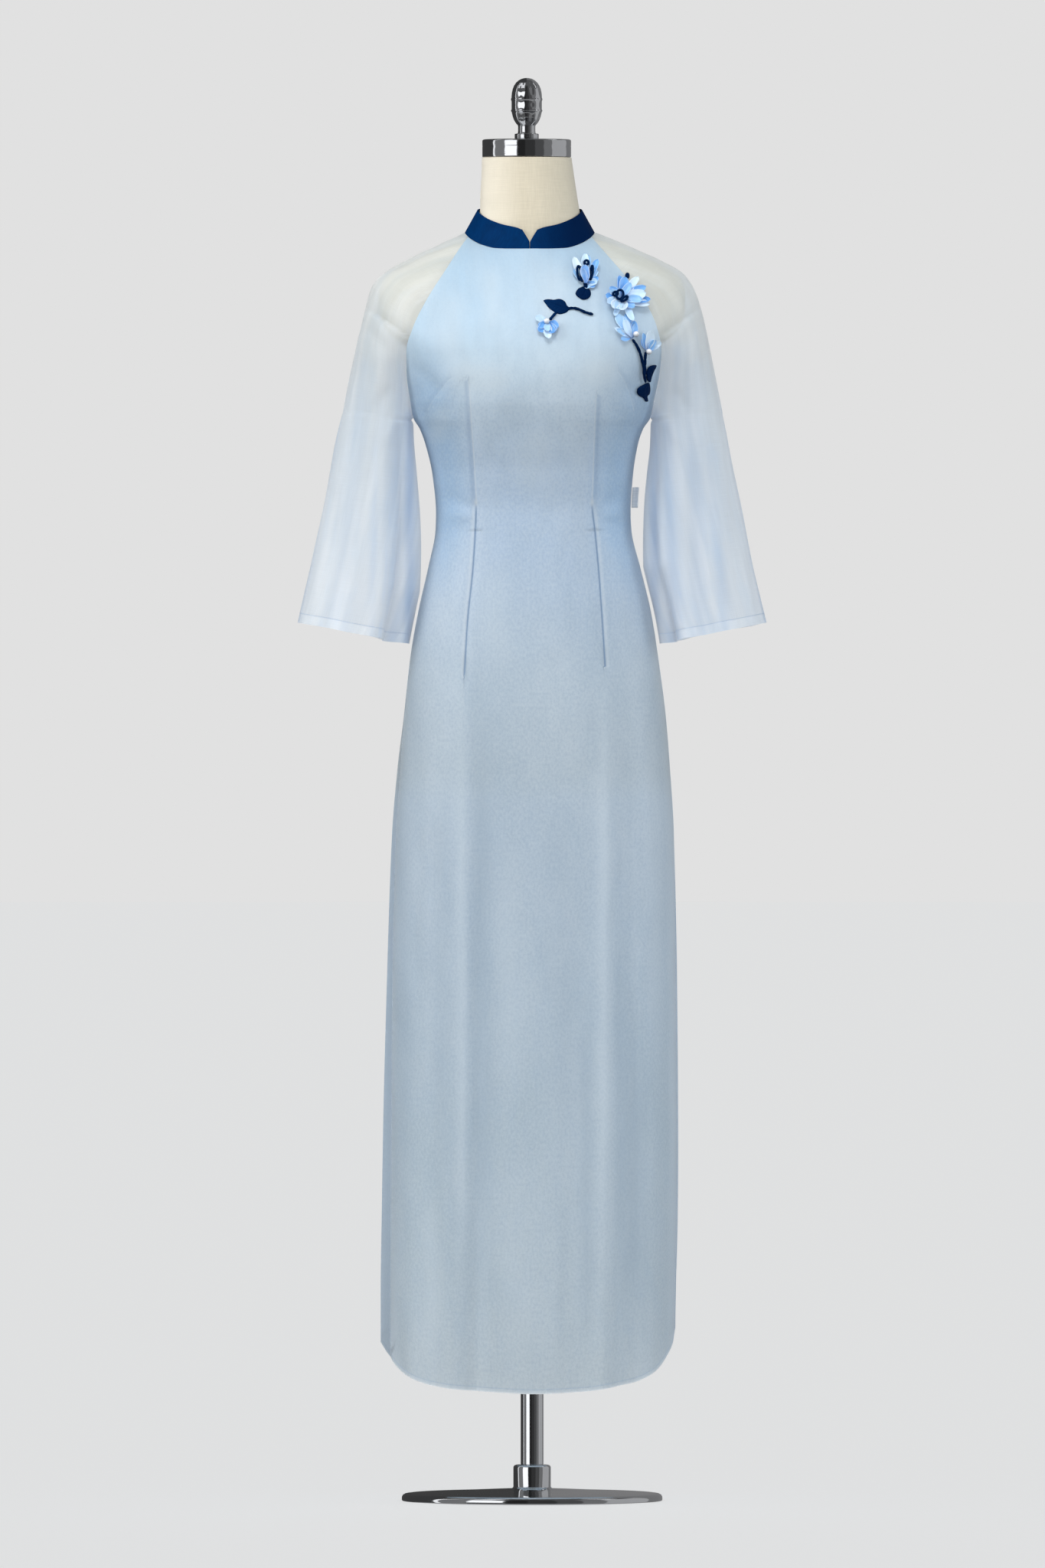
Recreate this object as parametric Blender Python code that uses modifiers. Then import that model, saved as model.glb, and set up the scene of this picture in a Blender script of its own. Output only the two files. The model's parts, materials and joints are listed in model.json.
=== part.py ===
"""An ao dai tunic with raglan bell sleeves, standing on a limbless dress form.

The script models it in metres, +Z up, with the floor at z = 0 and the front of the tunic
facing -Y. The tables below are in millimetres and every mesh is scaled by MM as it is made.
Each cloth piece is an outer surface lofted through sections, given its wall by Solidify,
so that the wall grows inwards and the outer surfaces keep the sizes in the tables.
"""

import math
from collections import namedtuple

import bmesh
import bpy
import numpy as np
from mathutils import Vector

MM = 0.001
MERGE_DISTANCE = 0.00002
SHARP_ANGLE = math.radians(40)

# Driving sizes of the cloth, in millimetres.
SEAM_GAP = 0.3
SILK_WALL = 1.2
ORGANZA_WALL = 1.0
COLLAR_WALL = 1.5
FRONT_NECK_HEIGHT = 1551
BACK_NECK_HEIGHT = 1556
UNDERARM_HEIGHT = 1329
SLIT_TOP_HEIGHT = 1191
HEM_HEIGHT = 134
FORM_CLEARANCE = 3.0

# The front panel from collar to hem. left, right: how far its edges lie from x = 0;
# edge_depth, depth: how far forward its edges and its middle lie; bend: how far the section
# turns from the middle to an edge, in degrees; fullness: 2 is a plain ellipse, more is squarer.
Section = namedtuple("Section", "height left right edge_depth depth bend fullness")
FRONT_SECTIONS = [
    Section(FRONT_NECK_HEIGHT, 78.7, 73.1, 21, 66, 72, 2.00),
    Section(1530, 94, 90.5, 48, 71, 66, 2.00),
    Section(1510, 106, 108, 62, 80, 62, 2.05),
    Section(1490, 119, 124, 71, 90, 60, 2.10),
    Section(1470, 131, 139, 76, 101, 60, 2.10),
    Section(1439, 146, 153, 77, 117, 62, 2.15),
    Section(1411, 154, 158.5, 64, 126, 68, 2.20),
    Section(1385, 154, 156.5, 45, 129, 76, 2.20),
    Section(1350, 149.5, 149.5, 17, 126, 86, 2.20),
    Section(UNDERARM_HEIGHT, 145.7, 145, 0, 121, 90, 2.20),
    Section(1316, 138, 136.5, 0, 117, 90, 2.20),
    Section(1297, 131, 130, 0, 111, 90, 2.15),
    Section(1260, 122.4, 124, 0, 100, 90, 2.10),
    Section(1213, 118, 121, 0, 93, 90, 2.10),
    Section(SLIT_TOP_HEIGHT, 118.5, 122, 0.5, 94, 90, 2.10),
    Section(1147, 127, 132.5, 2, 99, 89, 2.15),
    Section(1090, 140, 146, 4, 107, 88, 2.20),
    Section(1034, 149.5, 155, 6, 113, 87, 2.25),
    Section(959, 157, 164.5, 9, 118, 86, 2.30),
    Section(902, 161.5, 169, 11, 119, 85, 2.30),
    Section(818, 167.5, 174, 13, 118, 84, 2.35),
    Section(649, 171.5, 176.5, 16, 115, 82, 2.40),
    Section(430, 173, 178, 19, 112, 80, 2.40),
    Section(211, 174, 175.5, 21, 110, 79, 2.40),
    Section(HEM_HEIGHT, 174, 175, 22, 109, 78, 2.40),
]
BACK_SECTIONS = [
    Section(BACK_NECK_HEIGHT, 78.7, 73.1, 19, 61, 72, 2.00),
    Section(1532, 93, 91, 50, 72, 66, 2.00),
    Section(1511, 106, 108, 65, 84, 62, 2.05),
    Section(1490, 120, 124, 74, 94, 60, 2.10),
    Section(1470, 133, 138, 77, 101, 60, 2.10),
    Section(1439, 147, 152, 72, 108, 62, 2.20),
    Section(1411, 154, 157.5, 58, 109, 68, 2.25),
    Section(1385, 154, 156, 42, 107, 76, 2.25),
    Section(1350, 149.5, 149.5, 16, 102, 86, 2.20),
    Section(UNDERARM_HEIGHT, 145.7, 145, 0, 98, 90, 2.20),
    Section(1316, 138, 136.5, 0, 96, 90, 2.20),
    Section(1297, 131, 130, 0, 92, 90, 2.20),
    Section(1260, 122.4, 124, 0, 86, 90, 2.15),
    Section(1213, 118, 121, 0, 83, 90, 2.10),
    Section(SLIT_TOP_HEIGHT, 118.5, 122, 0.5, 85, 90, 2.10),
    Section(1147, 127, 132.5, 2, 96, 89, 2.20),
    Section(1090, 140, 146, 4, 111, 88, 2.25),
    Section(1034, 149.5, 155, 6, 121, 87, 2.25),
    Section(959, 158, 164.5, 9, 126, 86, 2.30),
    Section(902, 165, 169, 11, 126, 85, 2.30),
    Section(818, 172, 174, 13, 124, 84, 2.35),
    Section(649, 178, 178, 16, 121, 82, 2.40),
    Section(430, 183.5, 179.5, 19, 119, 80, 2.40),
    Section(211, 186, 177, 21, 118, 79, 2.40),
    Section(HEM_HEIGHT, 186, 176, 22, 118, 78, 2.40),
]

# Soft folds in the panels: where a ridge (or a trough, if depth is below 0) starts and ends,
# how far it stands out at each end, and its half width.
Fold = namedtuple("Fold", "top_height top_x top_depth foot_height foot_x foot_depth half_width")
FRONT_FOLDS = [
    Fold(1020, -83, 1, HEM_HEIGHT, -98, 7, 16),
    Fold(1000, -66, -1, HEM_HEIGHT, -72, -6, 16),
    Fold(960, -138, 1, HEM_HEIGHT, -142, 6, 15),
    Fold(1010, 90, 1, HEM_HEIGHT, 88, 7, 17),
    Fold(990, 108, -1, HEM_HEIGHT, 112, -6, 16),
    Fold(930, 132, 1, HEM_HEIGHT, 138, 6, 18),
    Fold(700, 6, 1, HEM_HEIGHT, 12, 4, 30),
]
BACK_FOLDS = [
    Fold(1000, -92, 1, HEM_HEIGHT, -104, 8, 18),
    Fold(980, -70, -1, HEM_HEIGHT, -76, -7, 17),
    Fold(930, -34, 1, HEM_HEIGHT, -30, 6, 20),
    Fold(960, 58, -1, HEM_HEIGHT, 60, -5, 18),
    Fold(1000, 86, 1, HEM_HEIGHT, 92, 8, 18),
    Fold(940, 126, -1, HEM_HEIGHT, 132, -5, 18),
]

# How far the hem of each panel lies above its lowest point, by the distance from x = 0.
Lift = namedtuple("Lift", "x rise")
FRONT_HEM = [
    Lift(-174, 44),
    Lift(-170, 37),
    Lift(-160, 27),
    Lift(-142, 17),
    Lift(-123, 10),
    Lift(-88, 5),
    Lift(-45, 2),
    Lift(0, 0),
    Lift(65, 3),
    Lift(98, 8),
    Lift(123, 13),
    Lift(139, 21),
    Lift(154, 31),
    Lift(164, 44),
    Lift(172, 60),
    Lift(175, 77),
]
BACK_HEM = [
    Lift(-186, 60),
    Lift(-178, 46),
    Lift(-165, 32),
    Lift(-140, 17),
    Lift(-100, 7),
    Lift(0, 2),
    Lift(100, 8),
    Lift(140, 20),
    Lift(160, 38),
    Lift(172, 60),
    Lift(176, 77),
]
# The height over which the hem's lift dies out, the height over which a panel or sleeve turns
# into the collar's seam, the points of a section, and the height over which a fold starts.
HEM_LIFT_REACH = 230
NECK_BLEND_REACH = 46
SECTION_POINTS = 121
SLOPE_STEP = 4
FOLD_START = 60

# The collar, by the turn from centre front in degrees: height of its seam and of its top edge.
# The raglan seams meet it at RAGLAN_TURN. Its ends meet up to the share NOTCH_FOOT of its height,
# and part by NOTCH_TURN at the top.
COLLAR_CENTRE_X = -2.8
COLLAR_SEAM_HALF_WIDTH = 79.8
COLLAR_SEAM_FRONT = 66
COLLAR_SEAM_BACK = 61
COLLAR_TOP_HALF_WIDTH = 64.2
COLLAR_TOP_FRONT = 59
COLLAR_TOP_BACK = 57
RAGLAN_TURN = 72
NOTCH_TURN = 8
NOTCH_FOOT = 0.38
NOTCH_ROUNDING = 1.3
Turn = namedtuple("Turn", "turn seam_height top_height")
COLLAR_TURNS = [
    Turn(0, 1535.5, 1558.0),
    Turn(8, 1535.6, 1559.5),
    Turn(14, 1535.7, 1562.0),
    Turn(31, 1536.4, 1566.0),
    Turn(47, 1541.0, 1571.0),
    Turn(64, 1548.0, 1577.0),
    Turn(78, 1553.5, 1581.5),
    Turn(90, 1556.5, 1584.5),
    Turn(108, 1558.0, 1586.5),
    Turn(180, 1561.0, 1590.0),
]

# The sleeves above the underarm, from the raglan seams over the shoulder line and back: where
# the section meets the front seam, where its outer line lies on each side, and half its depth.
Shoulder = namedtuple("Shoulder", "seam_height outer_height outer_left outer_right half_depth fullness")
SHOULDER_SECTIONS = [
    Shoulder(FRONT_NECK_HEIGHT, 1556.5, 82.6, 77.0, 0, 2.0),
    Shoulder(1530, 1544, 108, 108.5, 0, 1.9),
    Shoulder(1510, 1533.5, 132, 135, 0, 1.9),
    Shoulder(1490, 1521, 157, 161, 0, 1.9),
    Shoulder(1470, 1506, 183, 186, 0, 2.0),
    Shoulder(1450, 1488, 197, 198.5, 0, 2.0),
    Shoulder(1425, 1462, 205, 207.5, 74, 2.0),
    Shoulder(1400, 1433, 212.5, 214.5, 70, 2.0),
    Shoulder(1375, 1400, 219, 221, 64, 2.0),
    Shoulder(1350, 1365, 226.5, 228, 58, 2.0),
    Shoulder(UNDERARM_HEIGHT, 1335, 233, 234, 54, 2.0),
]

# The sleeves below the underarm, as tubes that widen to the slanting hem: heights and distances
# from x = 0 of the inner and the outer line, and half the depth.
Tube = namedtuple("Tube", "inner_height outer_height inner outer half_depth")
SLEEVE_SECTIONS = [
    Tube(UNDERARM_HEIGHT, 1335, 146.4, 233.5, 54),
    Tube(1300, 1307, 145, 239.5, 54),
    Tube(1260, 1269, 141, 246.5, 55),
    Tube(1213, 1225, 137.5, 255.5, 56),
    Tube(1165, 1181, 136, 264.5, 58),
    Tube(1128, 1146, 137, 272, 60),
    Tube(1090, 1112, 141, 280, 62),
    Tube(1052, 1078, 147, 288, 65),
]
SLEEVE_BODY_CLEARANCE = 3.5
HALF_SLEEVE_POINTS = 61
# Flutes in the sleeves, by the angle round the tube from its outer side, forward above 0.
Flute = namedtuple("Flute", "angle half_angle depth")
LEFT_FLUTES = [
    Flute(138, 13, -20),
    Flute(112, 13, 5),
    Flute(64, 15, -6),
    Flute(-60, 15, -9),
    Flute(-92, 14, 6),
    Flute(-128, 14, -13),
]
RIGHT_FLUTES = [
    Flute(146, 12, -12),
    Flute(116, 13, 6),
    Flute(86, 14, -9),
    Flute(-52, 15, 6),
    Flute(-84, 15, -10),
    Flute(-130, 14, -11),
]
FLUTE_TOP_HEIGHT = 1420
FLUTE_GROWTH = 1.4

# The dress form: half widths of its shoulders and neck, where the cloth doesn't give them.
Ring = namedtuple("Ring", "height half_width front back fullness centre_x")
NECK_TOP_HEIGHT = 1648.6
FORM_BOTTOM_HEIGHT = 862
FORM_RINGS = [
    Ring(NECK_TOP_HEIGHT, 55.0, 54.0, 55.0, 2.00, -6.6),
    Ring(1625, 57.0, 54.0, 55.0, 2.00, -5.2),
    Ring(1600, 58.5, 54.0, 54.5, 2.00, -3.6),
    Ring(1584, 59.5, 54.0, 54.0, 2.00, -2.8),
    Ring(1570, 61.5, 54.5, 54.0, 2.00, -2.6),
    Ring(1560, 65.0, 55.5, 55.0, 1.95, -2.2),
    Ring(1552, 72.0, 56.0, 56.0, 1.70, -2.2),
    Ring(1545, 91.5, 58.5, 59.5, 1.46, -1.4),
    Ring(1537, 112.0, 61.0, 64.0, 1.48, 0),
    Ring(1528, 133.0, 64.5, 68.5, 1.58, 0),
    Ring(1517, 157.0, 69.5, 74.5, 1.70, 0),
    Ring(1507, 174.0, 74.0, 79.5, 1.80, 0),
    Ring(1496, 184.0, 80.0, 85.0, 1.94, 0),
    Ring(1482, 188.0, 88.0, 91.5, 2.08, 0),
    Ring(1462, 187.5, 98.5, 97.5, 2.20, 0),
    Ring(1442, 182.0, 109.0, 101.5, 2.25, 0),
    Ring(1428, 170.0, 115.0, 103.0, 2.20, 0),
    Ring(1416, 154.0, 119.0, 103.5, 2.20, 0),
    Ring(1404, 143.0, 121.5, 103.0, 2.20, 0),
    Ring(1385, 140.0, 123.5, 102.0, 2.20, 0),
]
FORM_LOWER_HEIGHTS = (1350, 1320, 1285, 1250, 1213, 1165, 1105, 1035, 960, 885)
FORM_POINTS = 26
FORM_BOTTOM_INSET = 12

# The hardware of the dress form.
CAP_CENTRE_X = -6.6
CAP_RADIUS = 54.5
CAP_BOTTOM = 1649
CAP_TOP = 1671
CAP_EDGE = 1.6
FINIAL_PROFILE = [
    (0, 1746.5), (6.5, 1745.4), (13.2, 1740.6), (17.2, 1733), (18.6, 1724.6), (18.7, 1722.4),
    (19.5, 1720.2), (18.7, 1718.2), (18.6, 1708.2), (19.4, 1706.2), (18.4, 1704.4), (17.2, 1699),
    (14.2, 1692.2), (11.2, 1688.6), (10.6, 1687), (10.6, 1678.6), (14.4, 1678), (14.8, 1677),
    (14.8, 1671.3), (0, 1671.3),
]
POLE_RADIUS = 14
SOCKET_RADIUS = 24
SOCKET_HEIGHT = 34
SOCKET_FLANGE_RADIUS = 34
SOCKET_FLANGE_THICKNESS = 4
BASE_RADIUS = 160
BASE_RIM_HEIGHT = 9
BASE_CROWN_HEIGHT = 15
HUB_RADIUS = 23
HUB_TOP = 44
HUB_CHAMFER = 3
RIM_ROUNDING = ((6, 0), (1, 2.5), (0, 5))
RIM_CHAMFER = 1

# The applique on the chest, placed in front view by x and height. A petal's direction and half
# spread are turns from straight up in degrees, and its lift is how far its tip stands out.
PETAL_WALL = 0.9
APPLIQUE_GAP = 0.6
CORE_RADIUS = 4.5
CORE_LIFT = 1.0
PETAL_ROUNDNESS = 0.45
PETAL_CUP = 1.5
PETAL_ROWS = (0, 0.3, 0.62, 1)
PETAL_MARKS = (-0.99, -0.7, 0, 0.7, 0.99)
CORE_STEP = 45
CLOSEST_TURNS = 3
Petal = namedtuple("Petal", "direction length half_spread lift")
Blossom = namedtuple("Blossom", "name x height base finish petals")
BLOSSOMS = [
    Blossom("flower_a", 64.9, 1496.5, 0, "petal_ribbon", [
        Petal(-26, 34, 12, 5),
        Petal(-6, 35, 10, 4),
        Petal(14, 33, 10, 4),
        Petal(33, 31, 10, 6),
        Petal(79, 14, 22, 4),
        Petal(127, 11, 24, 3),
    ]),
    Blossom("flower_a_heart", 64.9, 1497.5, 5.9, "petal_ribbon", [
        Petal(2, 24, 22, 5),
    ]),
    Blossom("flower_c", 17.9, 1445.8, 0, "petal_ribbon", [
        Petal(-70, 21, 17, 5),
        Petal(-128, 16, 24, 4),
        Petal(178, 19, 20, 5),
        Petal(142, 17, 17, 6),
        Petal(100, 14, 24, 4),
    ]),
    Blossom("flower_d", 107.2, 1478.6, 0, "petal_ribbon", [
        Petal(-36, 17, 18, 5),
        Petal(5, 28, 14, 6),
        Petal(24, 30, 10, 5),
        Petal(43, 33, 11, 7),
        Petal(76, 37, 12, 9),
        Petal(108, 36, 10, 8),
        Petal(147, 31, 9, 9),
        Petal(180, 15, 22, 9),
        Petal(-138, 18, 20, 9),
        Petal(-97, 19, 18, 7),
    ]),
    Blossom("flower_e", 126.5, 1429.5, 0, "petal_ribbon", [
        Petal(-66, 29, 9, 4),
        Petal(-41, 36, 11, 3),
        Petal(-18, 31, 11, 2.5),
        Petal(38, 18, 14, 5),
    ]),
    Blossom("flower_f", 142.4, 1410.5, -0.8, "petal_ribbon", [
        Petal(-20, 15, 14, 3),
        Petal(10, 25, 14, 6),
        Petal(67, 19, 14, 5),
    ]),
]
# A leaf goes from its base to its tip, and a loop stands out more at its top than at its foot.
Leaf = namedtuple("Leaf", "name base_x base_height tip_x tip_height half_width")
LEAVES = [
    Leaf("leaf_a", 65.4, 1489.6, 60.4, 1474.5, 9.8),
    Leaf("leaf_b", 48.5, 1463.2, 14.6, 1474.2, 7.6),
    Leaf("leaf_g", 141.5, 1378.5, 151.7, 1394.0, 4.6),
    Leaf("leaf_h", 138.4, 1371.0, 137.4, 1350.0, 7.4),
]
LEAF_WALL = 1.6
LEAF_TIP_HALF = 0.8
LEAF_CROWN = 0.9
LEAF_SHIFT = 0.85
LEAF_ROUNDNESS = 0.7
Stem = namedtuple("Stem", "name points")
STEMS = [
    Stem("stem_b_long", [(52, 1462.2), (60, 1460.6), (67, 1458.0), (74.5, 1455.8)]),
    Stem("stem_b_short", [(28, 1461.4), (25, 1456), (22.4, 1451.6)]),
    Stem("stem_e", [(125.6, 1422.8), (130.2, 1414), (134.2, 1403), (136.6, 1389), (138.2, 1374.4)]),
    Stem("stem_f", [(142.2, 1404.6), (141.4, 1397), (140.8, 1390)]),
]
STEM_RADIUS_CLOTH = 1.9
Loop = namedtuple("Loop", "name x height half_width half_height foot_out top_out")
LOOPS = [
    Loop("flower_a_loop", 66.6, 1510.5, 6.4, 13.5, 4.8, 7.6),
    Loop("flower_d_loop", 106.2, 1481.5, 7.0, 6.0, 6.1, 5.9),
]
LOOP_RADIUS = 1.5
PEARL_RADIUS = 3.6
PEARL_SEAT = 0.9
Pearl = namedtuple("Pearl", "name x height base")
PEARLS = [
    Pearl("pearl_c", 18.0, 1445.9, 0),
    Pearl("pearl_e", 127.0, 1429.8, 0),
    Pearl("pearl_f", 142.8, 1410.0, -0.8),
]

# The small label caught in the right side seam at the waist.
LABEL_TOP = 1244
LABEL_BOTTOM = 1219
LABEL_WALL = 1.0
LABEL_LINE = ((0.9, -1.5), (5.0, -4.0), (8.0, -8.5))

# Colours of the parts: base colour, roughness, metallic.
FINISHES = {
    "silk": ((0.62, 0.74, 0.86), 0.42, 0.0),
    "organza": ((0.72, 0.80, 0.90), 0.50, 0.0),
    "navy_satin": ((0.010, 0.055, 0.160), 0.45, 0.0),
    "petal_ribbon": ((0.52, 0.73, 0.93), 0.40, 0.0),
    "pearl": ((0.85, 0.85, 0.86), 0.22, 0.0),
    "linen": ((0.74, 0.70, 0.60), 0.85, 0.0),
    "chrome": ((0.75, 0.76, 0.78), 0.10, 1.0),
    "label_tape": ((0.70, 0.72, 0.74), 0.70, 0.0),
}


def smooth_curve(x, y, at):
    """Values at `at` on a smooth curve through the points (x, y) that never overshoots them."""
    x, y, at = (np.asarray(a, float) for a in (x, y, at))
    step = np.diff(x)
    slope = np.diff(y) / step
    tangent = np.concatenate([[slope[0]], np.zeros(len(x) - 2), [slope[-1]]])
    same_way = slope[:-1] * slope[1:] > 0
    total = np.where(same_way, slope[:-1] + slope[1:], 1)
    tangent[1:-1] = np.where(same_way, 2 * slope[:-1] * slope[1:] / total, 0)
    i = np.clip(np.searchsorted(x, at) - 1, 0, len(x) - 2)
    t = np.clip((at - x[i]) / step[i], 0, 1)
    rise = (3 - 2 * t) * t**2
    start = t * (1 - t) ** 2
    end = t**2 * (t - 1)
    return y[i] + (y[i + 1] - y[i]) * rise + step[i] * (start * tangent[i] + end * tangent[i + 1])


def read(table, name, at):
    """A column of a table at a place between its rows. The first column is the place."""
    key = table[0]._fields[0]
    rows = sorted(table, key=lambda row: getattr(row, key))
    return smooth_curve([getattr(r, key) for r in rows], [getattr(r, name) for r in rows], at)


def ease(value):
    """A smooth step from 0 to 1 while value goes from 0 to 1."""
    t = np.clip(value, 0, 1)
    return t * t * (3 - 2 * t)


def power(base, exponent):
    return np.sign(base) * np.abs(base) ** exponent


def along(points, fractions, trim=0.0):
    """Points at fractions of the length of a polyline, which is trimmed at both ends first."""
    length = np.concatenate([[0], np.cumsum(np.linalg.norm(np.diff(points, axis=0), axis=1))])
    at = trim + np.asarray(fractions) * (length[-1] - 2 * trim)
    return np.stack([np.interp(at, length, points[:, k]) for k in range(points.shape[1])], axis=1)


def outward(points):
    """Unit normals of a section in plan, to the right of the way that it runs."""
    way = np.gradient(points[:, :2], axis=0)
    normal = np.stack([way[:, 1], -way[:, 0], np.zeros(len(way))], axis=1)
    return normal / np.linalg.norm(normal, axis=1)[:, None]


def fold_depth(folds, height, x):
    """How far the folds of a panel stand out at a height and a distance across."""
    total = np.zeros_like(x)
    for fold in folds:
        down = ease((fold.top_height - height) / (fold.top_height - fold.foot_height))
        middle = fold.top_x + (fold.foot_x - fold.top_x) * down
        depth = fold.top_depth + (fold.foot_depth - fold.top_depth) * down
        depth *= ease((fold.top_height + FOLD_START - height) / (2 * FOLD_START))
        total += depth * np.exp(-(((x - middle) / fold.half_width) ** 2))
    return total


def collar_seam(turn):
    """A point of the collar's seam with the tunic, at a turn from centre front in degrees."""
    angle = np.radians(turn)
    deep = np.where(np.cos(angle) > 0, COLLAR_SEAM_FRONT, COLLAR_SEAM_BACK)
    height = read(COLLAR_TURNS, "seam_height", np.degrees(np.arccos(np.cos(angle))))
    x = COLLAR_CENTRE_X + COLLAR_SEAM_HALF_WIDTH * np.sin(angle)
    return np.stack([x, -deep * np.cos(angle), height - SEAM_GAP], axis=-1)


def panel_section(sections, folds, hem, is_front, height):
    """A section of the front or back, from its left edge to its right, as 3D points."""
    bend = math.radians(float(read(sections, "bend", height)))
    full = 2 / float(read(sections, "fullness", height))
    edge = float(read(sections, "edge_depth", height))
    depth = float(read(sections, "depth", height))
    left = float(read(sections, "left", height))
    right = float(read(sections, "right", height))
    share = np.linspace(-1, 1, SECTION_POINTS)
    turn = share * bend
    x = (right - left) / 2 + (right + left) / 2 * power(np.sin(turn) / math.sin(bend), full)
    forward = (np.cos(turn) - math.cos(bend)) / (1 - math.cos(bend))
    y = edge + (depth - edge) * power(np.clip(forward, 0, 1), full)
    rise = read(hem, "rise", x) * ease((HEM_HEIGHT + HEM_LIFT_REACH - height) / HEM_LIFT_REACH)
    points = np.stack([x, -y if is_front else y, height + rise], axis=1)
    side = 1 if is_front else -1
    points += side * outward(points) * fold_depth(folds, height, x)[:, None]
    top = sections[0].height
    near_neck = ease((height - (top - NECK_BLEND_REACH)) / NECK_BLEND_REACH)
    neck = collar_seam(share * RAGLAN_TURN if is_front else 180 - share * RAGLAN_TURN)
    return points + (neck - points) * near_neck


def front_section(height):
    return panel_section(FRONT_SECTIONS, FRONT_FOLDS, FRONT_HEM, True, height)


def back_section(height):
    return panel_section(BACK_SECTIONS, BACK_FOLDS, BACK_HEM, False, height)


def on_front(x, z, out):
    """A point of the front panel by its place in front view, moved outwards by `out`."""
    height = float(z)
    for _ in range(3):
        section = front_section(height)
        height += z - np.interp(x, section[:, 0], section[:, 2])

    def depth_at(shift_x, shift_z):
        line = front_section(height + shift_z)
        return np.interp(x + shift_x, line[:, 0], line[:, 1])

    step = SLOPE_STEP
    slope_x = (depth_at(step, 0) - depth_at(-step, 0)) / (2 * step)
    slope_z = (depth_at(0, step) - depth_at(0, -step)) / (2 * step)
    normal = np.array([slope_x, -1, slope_z])
    return np.array([x, depth_at(0, 0), z]) + normal / np.linalg.norm(normal) * out


def sleeve_flutes(flutes, angle, height):
    """How far the flutes stand out round a sleeve at a height."""
    hem = SLEEVE_SECTIONS[-1].inner_height
    strength = np.clip((FLUTE_TOP_HEIGHT - height) / (FLUTE_TOP_HEIGHT - hem), 0, 1) ** FLUTE_GROWTH
    total = np.zeros_like(angle)
    for flute in flutes:
        total += flute.depth * np.exp(-(((np.degrees(angle) - flute.angle) / flute.half_angle) ** 2))
    return total * strength


def half_sleeve(seam_point, outer_point, half_depth, full):
    """Angles and points from the seam to the outer line of a sleeve that lies towards +X."""
    deep = max(half_depth, abs(seam_point[1]) + 0.01)
    seam_sine = (abs(seam_point[1]) / deep) ** (full / 2)
    seam_angle = math.pi - math.asin(seam_sine)
    seam_reach = math.cos(math.pi - seam_angle) ** (2 / full)
    centre = (seam_point[0] + seam_reach * outer_point[0]) / (1 + seam_reach)
    angle = np.linspace(seam_angle, 0, HALF_SLEEVE_POINTS)
    x = centre + (outer_point[0] - centre) * power(np.cos(angle), 2 / full)
    y = deep * power(np.sin(angle), 2 / full)
    fall = (1 - np.cos(angle)) / (1 - math.cos(seam_angle))
    z = outer_point[2] + (seam_point[2] - outer_point[2]) * fall
    return angle, np.stack([x, y, z], axis=1)


def sleeve_section(side, seam_height):
    """A section of a sleeve from its front seam round its outer line to its back seam."""
    is_right = side > 0
    flutes = RIGHT_FLUTES if is_right else LEFT_FLUTES
    end = -1 if is_right else 0
    mirror = np.array([side, 1, 1])
    if seam_height >= UNDERARM_HEIGHT:
        outer = float(read(SHOULDER_SECTIONS, "outer_right" if is_right else "outer_left", seam_height))
        outer_height = float(read(SHOULDER_SECTIONS, "outer_height", seam_height))
        half_depth = float(read(SHOULDER_SECTIONS, "half_depth", seam_height))
        full = float(read(SHOULDER_SECTIONS, "fullness", seam_height))
        neck_share = (seam_height - UNDERARM_HEIGHT) / (FRONT_SECTIONS[0].height - UNDERARM_HEIGHT)
        back_height = UNDERARM_HEIGHT + (BACK_SECTIONS[0].height - UNDERARM_HEIGHT) * neck_share
        front_seam = front_section(seam_height)[end] * mirror
        back_seam = back_section(back_height)[end] * mirror
    else:
        outer = float(read(SLEEVE_SECTIONS, "outer", seam_height))
        outer_height = float(read(SLEEVE_SECTIONS, "outer_height", seam_height))
        half_depth = float(read(SLEEVE_SECTIONS, "half_depth", seam_height))
        full = 2.0
        body = float(read(FRONT_SECTIONS, "right" if is_right else "left", seam_height))
        inner = max(float(read(SLEEVE_SECTIONS, "inner", seam_height)), body + SLEEVE_BODY_CLEARANCE)
        front_seam = back_seam = np.array([inner, 0.0, seam_height])
    outer_point = np.array([outer, 0.0, outer_height])
    front_angle, front = half_sleeve(front_seam, outer_point, half_depth, full)
    back_angle, back = half_sleeve(back_seam, outer_point, half_depth, full)
    points = np.concatenate([front * [1, -1, 1], back[-2::-1]])
    angle = np.concatenate([front_angle, -back_angle[-2::-1]])
    normal = np.zeros_like(points)
    normal[:, 0] = np.cos(angle)
    normal[:, 1] = -np.sin(angle)
    points += normal * sleeve_flutes(flutes, angle, seam_height)[:, None]
    near_neck = ease((seam_height - (FRONT_SECTIONS[0].height - NECK_BLEND_REACH)) / NECK_BLEND_REACH)
    turn = np.linspace(RAGLAN_TURN, 180 - RAGLAN_TURN, len(points))
    neck = collar_seam(side * turn) * mirror
    points += (neck - points) * near_neck
    return points * mirror


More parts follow.
